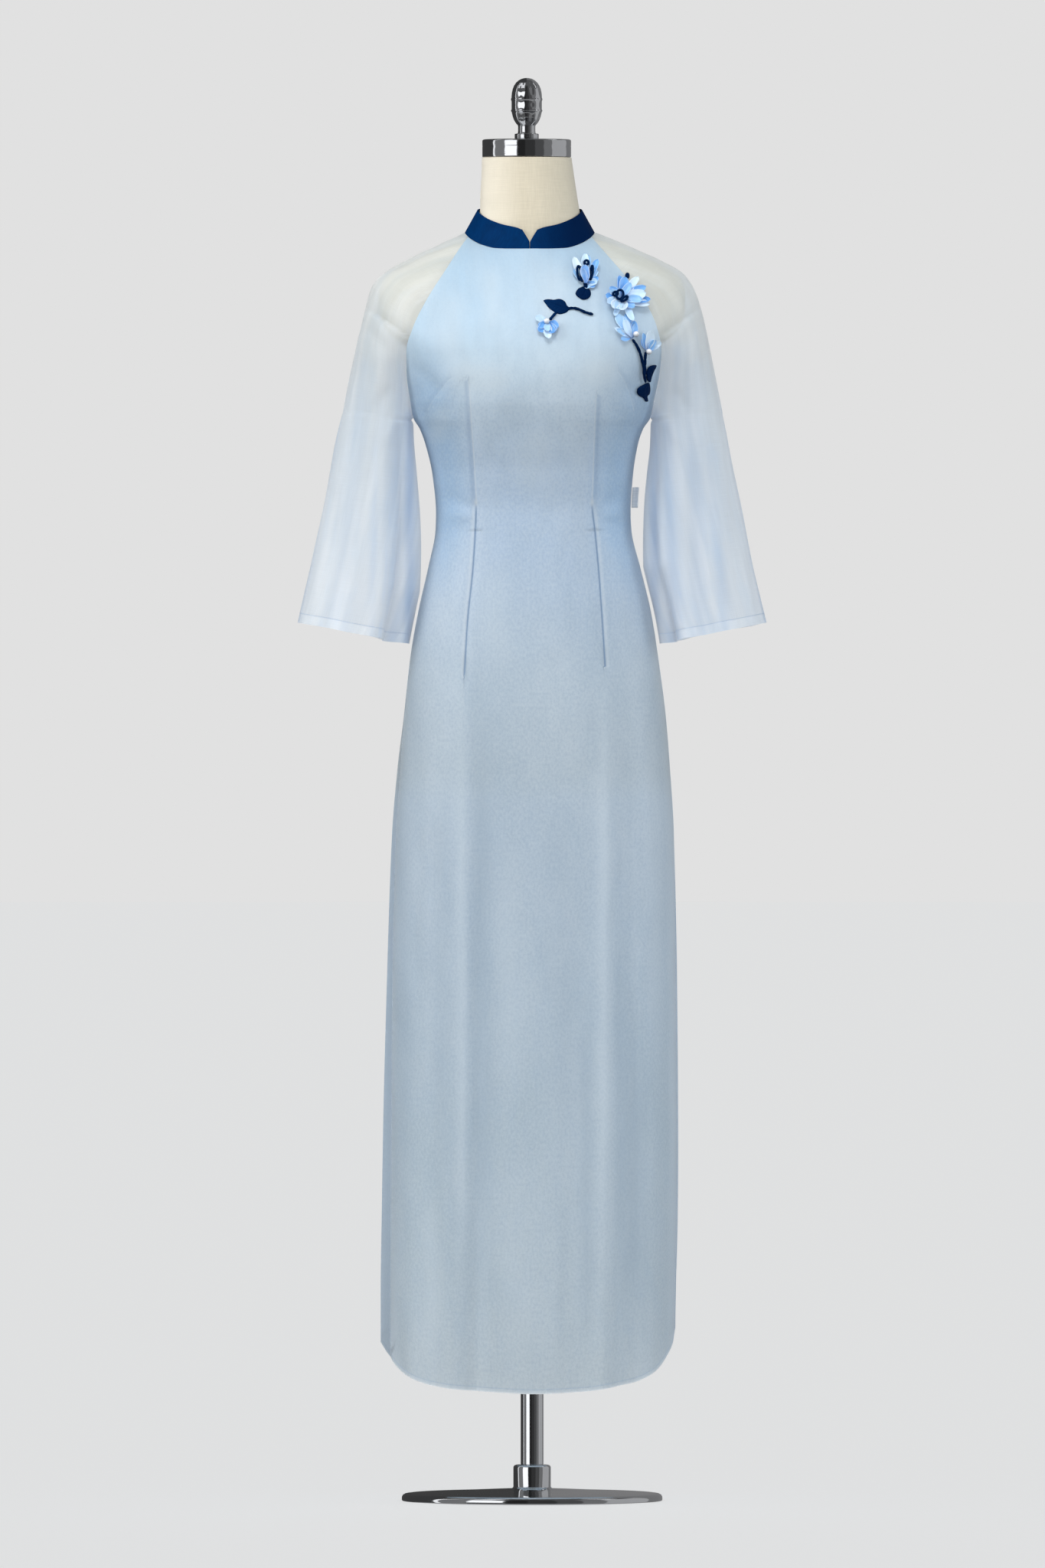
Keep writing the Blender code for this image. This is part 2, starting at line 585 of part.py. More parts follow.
def collar_section(side, share, row):
    """A point of a collar half: share goes from centre front to centre back, row from seam to top."""
    front_turn = NOTCH_TURN * max(0, (row - NOTCH_FOOT) / (1 - NOTCH_FOOT)) ** NOTCH_ROUNDING
    turn = front_turn + (180 - front_turn) * share
    angle = math.radians(turn)
    is_front = math.cos(angle) > 0
    seam_deep = COLLAR_SEAM_FRONT if is_front else COLLAR_SEAM_BACK
    top_deep = COLLAR_TOP_FRONT if is_front else COLLAR_TOP_BACK
    width = COLLAR_SEAM_HALF_WIDTH + (COLLAR_TOP_HALF_WIDTH - COLLAR_SEAM_HALF_WIDTH) * row
    deep = seam_deep + (top_deep - seam_deep) * row
    seam = float(read(COLLAR_TURNS, "seam_height", turn))
    top = float(read(COLLAR_TURNS, "top_height", turn))
    x = COLLAR_CENTRE_X + side * width * math.sin(angle)
    return np.array([x, -deep * math.cos(angle), seam + (top - seam) * row])


def collection(name):
    made = bpy.data.collections.new(name)
    bpy.context.scene.collection.children.link(made)
    return made


def finish_of(name):
    material = bpy.data.materials.get(name)
    if material is None:
        colour, roughness, metallic = FINISHES[name]
        material = bpy.data.materials.new(name)
        material.use_nodes = True
        shader = material.node_tree.nodes["Principled BSDF"]
        shader.inputs["Base Color"].default_value = (*colour, 1)
        shader.inputs["Roughness"].default_value = roughness
        shader.inputs["Metallic"].default_value = metallic
    return material


def new_object(name, mesh, finish):
    made = bpy.data.objects.new(name, mesh)
    made.data.materials.append(finish_of(finish))
    PARTS.objects.link(made)
    return made


def keep_primitive(made, name, finish):
    """Names a primitive, finishes it and moves it to the part's collection."""
    made.name = made.data.name = name
    made.data.set_sharp_from_angle(angle=SHARP_ANGLE)
    made.data.materials.append(finish_of(finish))
    for holder in list(made.users_collection):
        holder.objects.unlink(made)
    PARTS.objects.link(made)


def loft_mesh(name, rows, closed=False, capped=False):
    """A mesh through rows of points in millimetres; points that meet are merged."""
    mesh = bmesh.new()
    lines = [[mesh.verts.new(Vector(p) * MM) for p in row] for row in rows]
    for upper, lower in zip(lines, lines[1:]):
        count = len(upper)
        for i in range(count if closed else count - 1):
            j = (i + 1) % count
            mesh.faces.new((upper[i], lower[i], lower[j], upper[j]))
    if capped:
        mesh.faces.new(lines[0])
        mesh.faces.new(lines[-1][::-1])
    bmesh.ops.remove_doubles(mesh, verts=mesh.verts, dist=MERGE_DISTANCE)
    made = bpy.data.meshes.new(name)
    mesh.to_mesh(made)
    mesh.free()
    made.shade_smooth()
    return made


def add_wall(made, wall, even=True):
    """Gives an open surface a wall that grows inwards from it."""
    solidify = made.modifiers.new("Wall", "SOLIDIFY")
    solidify.thickness = wall * MM
    solidify.offset = -1
    solidify.use_even_offset = even
    solidify.use_quality_normals = True


def split_faces(made):
    """Makes the faces of a small curled piece flat triangles."""
    made.modifiers.new("Triangles", "TRIANGULATE").quad_method = "SHORTEST_DIAGONAL"


def cloth(name, rows, finish, wall):
    add_wall(new_object(name, loft_mesh(name, rows), finish), wall)


def turned(name, profile, steps, centre_x, finish):
    """A turned piece about a vertical axis, from (radius, height) points, top to bottom."""
    mesh = bpy.data.meshes.new(name)
    points = [(r * MM, 0, z * MM) for r, z in profile]
    mesh.from_pydata(points, [(i, i + 1) for i in range(len(points) - 1)], [])
    made = new_object(name, mesh, finish)
    made.location.x = centre_x * MM
    screw = made.modifiers.new("Turn", "SCREW")
    screw.steps = screw.render_steps = steps
    screw.use_merge_vertices = True
    screw.merge_threshold = MERGE_DISTANCE
    return made


PANEL_HEIGHTS = (
    FRONT_NECK_HEIGHT, 1541, 1529, 1515, 1500, 1482, 1462, 1440, 1418, 1395, 1372, 1350, 1337, UNDERARM_HEIGHT,
    1312, 1290, 1255, 1213, SLIT_TOP_HEIGHT, 1150, 1100, 1040, 960, 860, 730, 600,
    470, 340, 250, 190, 155, HEM_HEIGHT,
)
PANEL_COLUMNS = 24
SHOULDER_HEIGHTS = [height for height in PANEL_HEIGHTS if height > UNDERARM_HEIGHT]
TUBE_HEIGHTS = (1305, 1265, 1220, 1175, 1135, 1100, 1072, 1052)
SLEEVE_COLUMNS = 20


def make_front():
    shares = np.linspace(0, 1, PANEL_COLUMNS + 1)
    rows = [along(front_section(h), shares, SEAM_GAP / 2) for h in PANEL_HEIGHTS]
    cloth("front", rows, "silk", SILK_WALL)


def make_backs():
    top = BACK_SECTIONS[0].height
    drop = FRONT_SECTIONS[0].height - UNDERARM_HEIGHT
    half = PANEL_COLUMNS // 2
    for name, is_left in (("back_left", True), ("back_right", False)):
        rows = []
        for height in PANEL_HEIGHTS:
            if height > UNDERARM_HEIGHT:
                share = (height - UNDERARM_HEIGHT) / drop
                height = UNDERARM_HEIGHT + (top - UNDERARM_HEIGHT) * share
            section = back_section(height)
            middle = len(section) // 2
            part = section[: middle + 1] if is_left else section[middle:]
            rows.append(along(part, np.linspace(1, 0, half + 1), SEAM_GAP / 2))
        cloth(name, rows, "silk", SILK_WALL)


def make_sleeves():
    shares = np.linspace(0, 1, SLEEVE_COLUMNS + 1)
    for name, side in (("sleeve_left", -1), ("sleeve_right", 1)):
        rows = []
        for height in SHOULDER_HEIGHTS:
            rows.append(along(sleeve_section(side, height), shares, SEAM_GAP))
        for height in TUBE_HEIGHTS:
            rows.append(along(sleeve_section(side, height), shares))
        if side < 0:
            rows = [row[::-1] for row in rows]
        cloth(name, rows, "organza", ORGANZA_WALL)


def make_collar():
    shares = (0, 0.03, 0.07, 0.13, 0.21, 0.30, 0.40, 0.50, 0.60, 0.70, 0.80, 0.90, 1)
    for name, side in (("collar_left", -1), ("collar_right", 1)):
        rows = []
        for row in (1, 0.8, 0.58, NOTCH_FOOT, 0):
            line = np.array([collar_section(side, share, row) for share in np.linspace(0, 1, 91)])
            rows.append(along(line, shares, SEAM_GAP)[::side])
        cloth(name, rows, "navy_satin", COLLAR_WALL)


def petal_reach(petals, turn):
    """How far a blossom reaches at a turn from straight up, and how much it lifts there."""
    reach, lift = CORE_RADIUS, CORE_LIFT
    for petal in petals:
        off = abs((turn - petal.direction + 180) % 360 - 180) / petal.half_spread
        if off < 1:
            length = petal.length * (1 - off**2) ** PETAL_ROUNDNESS
            if length > reach:
                reach, lift = length, petal.lift * (length / petal.length) ** PETAL_CUP
    return reach, lift


def make_blossom(blossom):
    """A whorl of ribbon petals as one cupped wall with deep slots between the petals."""
    turns = {(p.direction + m * p.half_spread) % 360 for p in blossom.petals for m in PETAL_MARKS}
    turns |= set(range(0, 360, CORE_STEP))
    kept = []
    for turn in sorted(turns):
        if not kept or turn - kept[-1] > CLOSEST_TURNS:
            kept.append(turn)
    rows = []
    for share in PETAL_ROWS:
        row = []
        for turn in kept[::-1]:
            reach, lift = petal_reach(blossom.petals, turn)
            x = blossom.x + share * reach * math.sin(math.radians(turn))
            height = blossom.height + share * reach * math.cos(math.radians(turn))
            out = APPLIQUE_GAP + PETAL_WALL + blossom.base + lift * share**PETAL_CUP
            row.append(on_front(x, height, out))
        rows.append(row)
    made = new_object(blossom.name, loft_mesh(blossom.name, rows, closed=True), blossom.finish)
    add_wall(made, PETAL_WALL, even=False)
    split_faces(made)


def make_leaf(leaf):
    """A pointed leaf that lies on the front panel and crowns a little along its middle."""
    start = np.array([leaf.base_x, leaf.base_height])
    way = np.array([leaf.tip_x, leaf.tip_height]) - start
    across = np.array([way[1], -way[0]]) / np.linalg.norm(way)
    rows = []
    for share in np.linspace(0, 1, 7):
        swell = abs(math.sin(math.pi * share**LEAF_SHIFT)) ** LEAF_ROUNDNESS
        half = LEAF_TIP_HALF + (leaf.half_width - LEAF_TIP_HALF) * swell
        row = []
        for side in (1, 0.5, 0, -0.5, -1):
            x, height = start + way * share + across * half * side
            out = APPLIQUE_GAP + LEAF_WALL + LEAF_CROWN * swell * (1 - side * side)
            row.append(on_front(x, height, out))
        rows.append(row)
    made = new_object(leaf.name, loft_mesh(leaf.name, rows), "navy_satin")
    add_wall(made, LEAF_WALL, even=False)
    split_faces(made)


def tube(name, points, radius, finish, cyclic=False):
    """A soft tube along points in millimetres, as a curve with filled caps."""
    curve = bpy.data.curves.new(name, "CURVE")
    curve.dimensions = "3D"
    curve.bevel_depth = radius * MM
    curve.bevel_resolution = 2
    curve.use_fill_caps = not cyclic
    spline = curve.splines.new("POLY")
    spline.points.add(len(points) - 1)
    for spot, point in zip(spline.points, points):
        spot.co = (*(Vector(point) * MM), 1)
    spline.use_cyclic_u = cyclic
    new_object(name, curve, finish)


def make_applique():
    for blossom in BLOSSOMS:
        make_blossom(blossom)
    for leaf in LEAVES:
        make_leaf(leaf)
    for stem in STEMS:
        spots = np.array(stem.points, float)
        fine = along(spots, np.linspace(0, 1, 7))
        out = APPLIQUE_GAP + STEM_RADIUS_CLOTH
        tube(stem.name, [on_front(x, z, out) for x, z in fine], STEM_RADIUS_CLOTH, "navy_satin")
    for loop in LOOPS:
        points = []
        for turn in np.linspace(0, 2 * math.pi, 14, endpoint=False):
            x = loop.x + loop.half_width * math.sin(turn)
            height = loop.height + loop.half_height * math.cos(turn)
            rise = (1 + math.cos(turn)) / 2
            points.append(on_front(x, height, loop.foot_out + (loop.top_out - loop.foot_out) * rise))
        tube(loop.name, points, LOOP_RADIUS, "navy_satin", cyclic=True)
    for pearl in PEARLS:
        out = APPLIQUE_GAP + PETAL_WALL + pearl.base + PEARL_SEAT + PEARL_RADIUS
        place = on_front(pearl.x, pearl.height, out)
        bpy.ops.mesh.primitive_uv_sphere_add(segments=10, ring_count=7, radius=PEARL_RADIUS * MM)
        ball = bpy.context.object
        ball.location = Vector(place) * MM
        keep_primitive(ball, pearl.name, "pearl")


def make_label():
    """A folded tape that stands out from the side seam."""
    rows = []
    for height in np.linspace(LABEL_TOP, LABEL_BOTTOM, 4):
        seam = float(read(FRONT_SECTIONS, "right", height))
        rows.append([(seam + x, y, height) for x, y in LABEL_LINE])
    made = new_object("side_label", loft_mesh("side_label", rows), "label_tape")
    add_wall(made, LABEL_WALL)


def form_ring(ring):
    """The points of one ring of the dress form, from centre front to the right and round."""
    turn = np.linspace(0, 2 * math.pi, FORM_POINTS, endpoint=False)
    full = 2 / ring.fullness
    deep = np.where(np.cos(turn) > 0, ring.front, ring.back)
    x = ring.centre_x + ring.half_width * power(np.sin(turn), full)
    y = -deep * power(np.cos(turn), full)
    return np.stack([x, y, np.full(FORM_POINTS, float(ring.height))], axis=1)


def body_ring(height, inset):
    """A ring of the form below the arms, inside the tunic's own section."""
    left = float(read(FRONT_SECTIONS, "left", height))
    right = float(read(FRONT_SECTIONS, "right", height))
    front = float(read(FRONT_SECTIONS, "depth", height)) - inset
    back = float(read(BACK_SECTIONS, "depth", height)) - inset
    full = float(read(FRONT_SECTIONS, "fullness", height))
    return Ring(height, (left + right) / 2 - inset, front, back, full, (right - left) / 2)


def make_form():
    inset = SILK_WALL + FORM_CLEARANCE
    rings = list(FORM_RINGS)
    rings += [body_ring(height, inset) for height in FORM_LOWER_HEIGHTS]
    rings += [body_ring(FORM_BOTTOM_HEIGHT, inset + FORM_BOTTOM_INSET)]
    rows = [form_ring(ring) for ring in rings]
    new_object("form_torso", loft_mesh("form_torso", rows, closed=True, capped=True), "linen")


def make_hardware():
    cap = [
        (0, CAP_TOP),
        (CAP_RADIUS - CAP_EDGE, CAP_TOP),
        (CAP_RADIUS, CAP_TOP - CAP_EDGE),
        (CAP_RADIUS, CAP_BOTTOM),
        (0, CAP_BOTTOM),
    ]
    turned("neck_cap", cap, 32, CAP_CENTRE_X, "chrome")
    turned("finial", FINIAL_PROFILE, 18, CAP_CENTRE_X, "chrome")
    socket_top = FORM_BOTTOM_HEIGHT - SEAM_GAP
    socket = [
        (0, socket_top),
        (SOCKET_FLANGE_RADIUS, socket_top),
        (SOCKET_FLANGE_RADIUS, socket_top - SOCKET_FLANGE_THICKNESS),
        (SOCKET_RADIUS, socket_top - SOCKET_FLANGE_THICKNESS),
        (SOCKET_RADIUS, socket_top - SOCKET_HEIGHT),
        (0, socket_top - SOCKET_HEIGHT),
    ]
    turned("pole_socket", socket, 24, 0, "chrome")
    pole_top = socket_top - SOCKET_HEIGHT - SEAM_GAP
    pole_foot = HUB_TOP + SEAM_GAP
    bpy.ops.mesh.primitive_cylinder_add(
        vertices=24,
        radius=POLE_RADIUS * MM,
        depth=(pole_top - pole_foot) * MM,
        location=(0, 0, (pole_top + pole_foot) / 2 * MM),
    )
    keep_primitive(bpy.context.object, "pole", "chrome")
    base = [(0, HUB_TOP), (HUB_RADIUS - HUB_CHAMFER, HUB_TOP), (HUB_RADIUS, HUB_TOP - HUB_CHAMFER)]
    base += [(HUB_RADIUS, BASE_CROWN_HEIGHT)]
    base += [(BASE_RADIUS - inwards, BASE_RIM_HEIGHT - down) for inwards, down in RIM_ROUNDING]
    base += [(BASE_RADIUS, RIM_CHAMFER), (BASE_RADIUS - RIM_CHAMFER, 0), (0, 0)]
    turned("base", base, 36, 0, "chrome")


for leftover in list(bpy.data.objects):
    bpy.data.objects.remove(leftover)
PARTS = collection("ao_dai_tunic")
make_front()
make_backs()
make_sleeves()
make_collar()
make_applique()
make_label()
make_form()
make_hardware()
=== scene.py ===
"""An ao dai tunic on a limbless dress form: the cloth, the applique and the finishes.

Tables are in millimetres in the frame of the model, +Z up, with the front facing -Y. Each cloth
piece is a fine shell on the form of its solid, with its folds and creases added.
"""
import math
from collections import namedtuple

import bmesh
import bpy
import numpy as np
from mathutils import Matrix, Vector
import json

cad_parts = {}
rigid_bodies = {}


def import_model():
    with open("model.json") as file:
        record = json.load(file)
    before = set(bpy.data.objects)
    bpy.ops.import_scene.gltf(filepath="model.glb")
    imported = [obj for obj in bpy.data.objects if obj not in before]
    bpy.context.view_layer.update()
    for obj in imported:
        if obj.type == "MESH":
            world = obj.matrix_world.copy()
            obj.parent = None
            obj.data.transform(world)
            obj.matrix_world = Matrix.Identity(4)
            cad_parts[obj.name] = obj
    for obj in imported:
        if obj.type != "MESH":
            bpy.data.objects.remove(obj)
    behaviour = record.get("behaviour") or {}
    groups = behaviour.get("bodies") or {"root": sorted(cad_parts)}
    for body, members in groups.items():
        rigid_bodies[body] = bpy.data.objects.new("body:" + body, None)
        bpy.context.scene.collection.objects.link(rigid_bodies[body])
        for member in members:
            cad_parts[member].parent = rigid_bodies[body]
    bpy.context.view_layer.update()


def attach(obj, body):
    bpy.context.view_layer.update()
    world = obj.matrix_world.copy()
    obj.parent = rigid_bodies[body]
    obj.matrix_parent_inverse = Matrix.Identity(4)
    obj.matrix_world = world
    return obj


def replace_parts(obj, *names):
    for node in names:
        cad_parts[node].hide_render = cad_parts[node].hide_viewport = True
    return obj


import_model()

MM = 0.001
SEAM_GAP = 0.3
COLLAR_WALL = 1.5
FRONT_NECK_HEIGHT = 1551
BACK_NECK_HEIGHT = 1556
UNDERARM_HEIGHT = 1329
SLIT_TOP_HEIGHT = 1191
HEM_HEIGHT = 134

# The tunic's panels, as the solids have them.
Section = namedtuple("Section", "height left right edge_depth depth bend fullness")
FRONT_SECTIONS = [
    Section(FRONT_NECK_HEIGHT, 78.7, 73.1, 21, 66, 72, 2.00),
    Section(1530, 94, 90.5, 48, 71, 66, 2.00),
    Section(1510, 106, 108, 62, 80, 62, 2.05),
    Section(1490, 119, 124, 71, 90, 60, 2.10),
    Section(1470, 131, 139, 76, 101, 60, 2.10),
    Section(1439, 146, 153, 77, 117, 62, 2.15),
    Section(1411, 154, 158.5, 64, 126, 68, 2.20),
    Section(1385, 154, 156.5, 45, 129, 76, 2.20),
    Section(1350, 149.5, 149.5, 17, 126, 86, 2.20),
    Section(UNDERARM_HEIGHT, 145.7, 145, 0, 121, 90, 2.20),
    Section(1316, 138, 136.5, 0, 117, 90, 2.20),
    Section(1297, 131, 130, 0, 111, 90, 2.15),
    Section(1260, 122.4, 124, 0, 100, 90, 2.10),
    Section(1213, 118, 121, 0, 93, 90, 2.10),
    Section(SLIT_TOP_HEIGHT, 118.5, 122, 0.5, 94, 90, 2.10),
    Section(1147, 127, 132.5, 2, 99, 89, 2.15),
    Section(1090, 140, 146, 4, 107, 88, 2.20),
    Section(1034, 149.5, 155, 6, 113, 87, 2.25),
    Section(959, 157, 164.5, 9, 118, 86, 2.30),
    Section(902, 161.5, 169, 11, 119, 85, 2.30),
    Section(818, 167.5, 174, 13, 118, 84, 2.35),
    Section(649, 171.5, 176.5, 16, 115, 82, 2.40),
    Section(430, 173, 178, 19, 112, 80, 2.40),
    Section(211, 174, 175.5, 21, 110, 79, 2.40),
    Section(HEM_HEIGHT, 174, 175, 22, 109, 78, 2.40),
]
BACK_SECTIONS = [
    Section(BACK_NECK_HEIGHT, 78.7, 73.1, 19, 61, 72, 2.00),
    Section(1532, 93, 91, 50, 72, 66, 2.00),
    Section(1511, 106, 108, 65, 84, 62, 2.05),
    Section(1490, 120, 124, 74, 94, 60, 2.10),
    Section(1470, 133, 138, 77, 101, 60, 2.10),
    Section(1439, 147, 152, 72, 108, 62, 2.20),
    Section(1411, 154, 157.5, 58, 109, 68, 2.25),
    Section(1385, 154, 156, 42, 107, 76, 2.25),
    Section(1350, 149.5, 149.5, 16, 102, 86, 2.20),
    Section(UNDERARM_HEIGHT, 145.7, 145, 0, 98, 90, 2.20),
    Section(1316, 138, 136.5, 0, 96, 90, 2.20),
    Section(1297, 131, 130, 0, 92, 90, 2.20),
    Section(1260, 122.4, 124, 0, 86, 90, 2.15),
    Section(1213, 118, 121, 0, 83, 90, 2.10),
    Section(SLIT_TOP_HEIGHT, 118.5, 122, 0.5, 85, 90, 2.10),
    Section(1147, 127, 132.5, 2, 96, 89, 2.20),
    Section(1090, 140, 146, 4, 111, 88, 2.25),
    Section(1034, 149.5, 155, 6, 121, 87, 2.25),
    Section(959, 158, 164.5, 9, 126, 86, 2.30),
    Section(902, 165, 169, 11, 126, 85, 2.30),
    Section(818, 172, 174, 13, 124, 84, 2.35),
    Section(649, 178, 178, 16, 121, 82, 2.40),
    Section(430, 183.5, 179.5, 19, 119, 80, 2.40),
    Section(211, 186, 177, 21, 118, 79, 2.40),
    Section(HEM_HEIGHT, 186, 176, 22, 118, 78, 2.40),
]
Fold = namedtuple("Fold", "top_height top_x top_depth foot_height foot_x foot_depth half_width")
FRONT_FOLDS = [
    Fold(1020, -83, 1, HEM_HEIGHT, -98, 7, 16),
    Fold(1000, -66, -1, HEM_HEIGHT, -72, -6, 16),
    Fold(960, -138, 1, HEM_HEIGHT, -142, 6, 15),
    Fold(1010, 90, 1, HEM_HEIGHT, 88, 7, 17),
    Fold(990, 108, -1, HEM_HEIGHT, 112, -6, 16),
    Fold(930, 132, 1, HEM_HEIGHT, 138, 6, 18),
    Fold(700, 6, 1, HEM_HEIGHT, 12, 4, 30),
]
BACK_FOLDS = [
    Fold(1000, -92, 1, HEM_HEIGHT, -104, 8, 18),
    Fold(980, -70, -1, HEM_HEIGHT, -76, -7, 17),
    Fold(930, -34, 1, HEM_HEIGHT, -30, 6, 20),
    Fold(960, 58, -1, HEM_HEIGHT, 60, -5, 18),
    Fold(1000, 86, 1, HEM_HEIGHT, 92, 8, 18),
    Fold(940, 126, -1, HEM_HEIGHT, 132, -5, 18),
]
Lift = namedtuple("Lift", "x rise")
FRONT_HEM = [
    Lift(-174, 44),
    Lift(-170, 37),
    Lift(-160, 27),
    Lift(-142, 17),
    Lift(-123, 10),
    Lift(-88, 5),
    Lift(-45, 2),
    Lift(0, 0),
    Lift(65, 3),
    Lift(98, 8),
    Lift(123, 13),
    Lift(139, 21),
    Lift(154, 31),
    Lift(164, 44),
    Lift(172, 60),
    Lift(175, 77),
]
BACK_HEM = [
    Lift(-186, 60),
    Lift(-178, 46),
    Lift(-165, 32),
    Lift(-140, 17),
    Lift(-100, 7),
    Lift(0, 2),
    Lift(100, 8),
    Lift(140, 20),
    Lift(160, 38),
    Lift(172, 60),
    Lift(176, 77),
]
HEM_LIFT_REACH = 230
NECK_BLEND_REACH = 46
SECTION_POINTS = 121
FOLD_START = 60

# The collar.
COLLAR_CENTRE_X = -2.8
COLLAR_SEAM_HALF_WIDTH = 79.8
COLLAR_SEAM_FRONT = 66
COLLAR_SEAM_BACK = 61
COLLAR_TOP_HALF_WIDTH = 64.2
COLLAR_TOP_FRONT = 59
COLLAR_TOP_BACK = 57
RAGLAN_TURN = 72
NOTCH_TURN = 8
NOTCH_FOOT = 0.38
NOTCH_ROUNDING = 1.3
Turn = namedtuple("Turn", "turn seam_height top_height")
COLLAR_TURNS = [
    Turn(0, 1535.5, 1558.0),
    Turn(8, 1535.6, 1559.5),
    Turn(14, 1535.7, 1562.0),
    Turn(31, 1536.4, 1566.0),
    Turn(47, 1541.0, 1571.0),
    Turn(64, 1548.0, 1577.0),
    Turn(78, 1553.5, 1581.5),
    Turn(90, 1556.5, 1584.5),
    Turn(108, 1558.0, 1586.5),
    Turn(180, 1561.0, 1590.0),
]

# The sleeves.
Shoulder = namedtuple("Shoulder", "seam_height outer_height outer_left outer_right half_depth fullness")
SHOULDER_SECTIONS = [
    Shoulder(FRONT_NECK_HEIGHT, 1556.5, 82.6, 77.0, 0, 2.0),
    Shoulder(1530, 1544, 108, 108.5, 0, 1.9),
    Shoulder(1510, 1533.5, 132, 135, 0, 1.9),
    Shoulder(1490, 1521, 157, 161, 0, 1.9),
    Shoulder(1470, 1506, 183, 186, 0, 2.0),
    Shoulder(1450, 1488, 197, 198.5, 0, 2.0),
    Shoulder(1425, 1462, 205, 207.5, 74, 2.0),
    Shoulder(1400, 1433, 212.5, 214.5, 70, 2.0),
    Shoulder(1375, 1400, 219, 221, 64, 2.0),
    Shoulder(1350, 1365, 226.5, 228, 58, 2.0),
    Shoulder(UNDERARM_HEIGHT, 1335, 233, 234, 54, 2.0),
]
Tube = namedtuple("Tube", "inner_height outer_height inner outer half_depth")
SLEEVE_SECTIONS = [
    Tube(UNDERARM_HEIGHT, 1335, 146.4, 233.5, 54),
    Tube(1300, 1307, 145, 239.5, 54),
    Tube(1260, 1269, 141, 246.5, 55),
    Tube(1213, 1225, 137.5, 255.5, 56),
    Tube(1165, 1181, 136, 264.5, 58),
    Tube(1128, 1146, 137, 272, 60),
    Tube(1090, 1112, 141, 280, 62),
    Tube(1052, 1078, 147, 288, 65),
]
SLEEVE_BODY_CLEARANCE = 3.5
HALF_SLEEVE_POINTS = 61
Flute = namedtuple("Flute", "angle half_angle depth")
LEFT_FLUTES = [
    Flute(138, 13, -20),
    Flute(112, 13, 5),
    Flute(64, 15, -6),
    Flute(-60, 15, -9),
    Flute(-92, 14, 6),
    Flute(-128, 14, -13),
]
RIGHT_FLUTES = [
    Flute(146, 12, -12),
    Flute(116, 13, 6),
    Flute(86, 14, -9),
    Flute(-52, 15, 6),
    Flute(-84, 15, -10),
    Flute(-130, 14, -11),
]
FLUTE_TOP_HEIGHT = 1420
FLUTE_GROWTH = 1.4

# Small creases that the solids don't have, by place in front view: a soft ridge, or a trough
# where depth is below 0, from one point to another.
Crease = namedtuple("Crease", "x height end_x end_height depth half_width")
FRONT_CREASES = [
    Crease(-112, 1236, -62, 1214, -1.0, 7),
    Crease(-114, 1214, -70, 1206, 0.9, 6),
    Crease(-108, 1188, -58, 1202, -0.9, 7),
    Crease(114, 1238, 84, 1220, -1.1, 7),
    Crease(116, 1216, 86, 1204, 0.9, 6),
    Crease(116, 1192, 84, 1204, -0.8, 6),
    Crease(-146, 1396, -108, 1352, -1.6, 9),
    Crease(-140, 1362, -112, 1322, 1.2, 8),
    Crease(148, 1398, 112, 1350, -1.6, 9),
    Crease(142, 1362, 116, 1324, 1.2, 8),
    Crease(-106, 1090, -108, 180, 3.0, 15),
    Crease(-142, 1040, -146, 180, -4.2, 13),
    Crease(-80, 1100, -82, 200, 1.9, 7),
    Crease(-66, 1090, -66, 260, -1.4, 10),
    Crease(96, 1100, 98, 200, 2.4, 11),
    Crease(118, 1060, 120, 190, -3.0, 10),
    Crease(141, 1000, 144, 200, 1.8, 12),
    Crease(-34, 880, -38, 140, -1.3, 18),
    Crease(10, 940, 16, 300, 1.1, 22),
    Crease(52, 800, 56, 140, -1.5, 15),
    Crease(-52, 420, -50, 140, 1.4, 7),
    Crease(-14, 330, -16, 140, -0.9, 6),
    Crease(30, 380, 30, 140, 1.2, 8),
    Crease(76, 330, 72, 140, -1.4, 6),
]
# Painted light and shade on the silk, along its long folds, at the dart ends and over the bust: how much
# lighter, or darker below 0, its colour is made.
FRONT_PAINTED_LIGHT_AND_SHADE = [
    Crease(-82.4, 1046, -83, 1000, -1.8, 3.0),
    Crease(88.8, 1058, 89.5, 1012, -1.8, 3.0),
    Crease(-118, 1384, -16, 1372, 1.3, 17),
    Crease(48, 1382, 112, 1390, 1.0, 17),
    Crease(-46, 1530, -52, 1420, 0.7, 14),
    Crease(28, 1524, 24, 1410, 0.5, 16),
    Crease(-112, 1350, -118, 1290, 0.8, 12),
    Crease(-87, 1090, -86, 170, 1.0, 8),
    Crease(-61, 1080, -60, 130, -0.9, 12),
    Crease(-110, 980, -108, 280, -0.6, 12),
    Crease(-157, 1000, -157, 300, -0.6, 11),
    Crease(-124, 420, -122, 130, 0.7, 11),
    Crease(-34, 860, -26, 460, 0.6, 17),
    Crease(-22, 460, -20, 130, 0.4, 20),
    Crease(32, 900, 40, 380, -0.35, 24),
    Crease(66, 700, 66, 130, -0.8, 10),
    Crease(88, 1090, 90, 200, 1.0, 9),
    Crease(108, 760, 112, 130, -0.6, 9),
    Crease(127, 640, 130, 130, -0.9, 14),
    Crease(151, 1000, 152, 420, 0.6, 9),
    Crease(176, 1060, 174, 150, 1.0, 7),
    Crease(-44, 1180, -40, 1000, 0.5, 20),
    Crease(16, 1330, -20, 1230, 0.6, 26),
    Crease(-38, 1376, -10, 1290, -0.5, 26),
    Crease(-100, 1500, -96, 1380, 0.7, 18),
    Crease(40, 1350, 66, 1240, 0.4, 14),
]
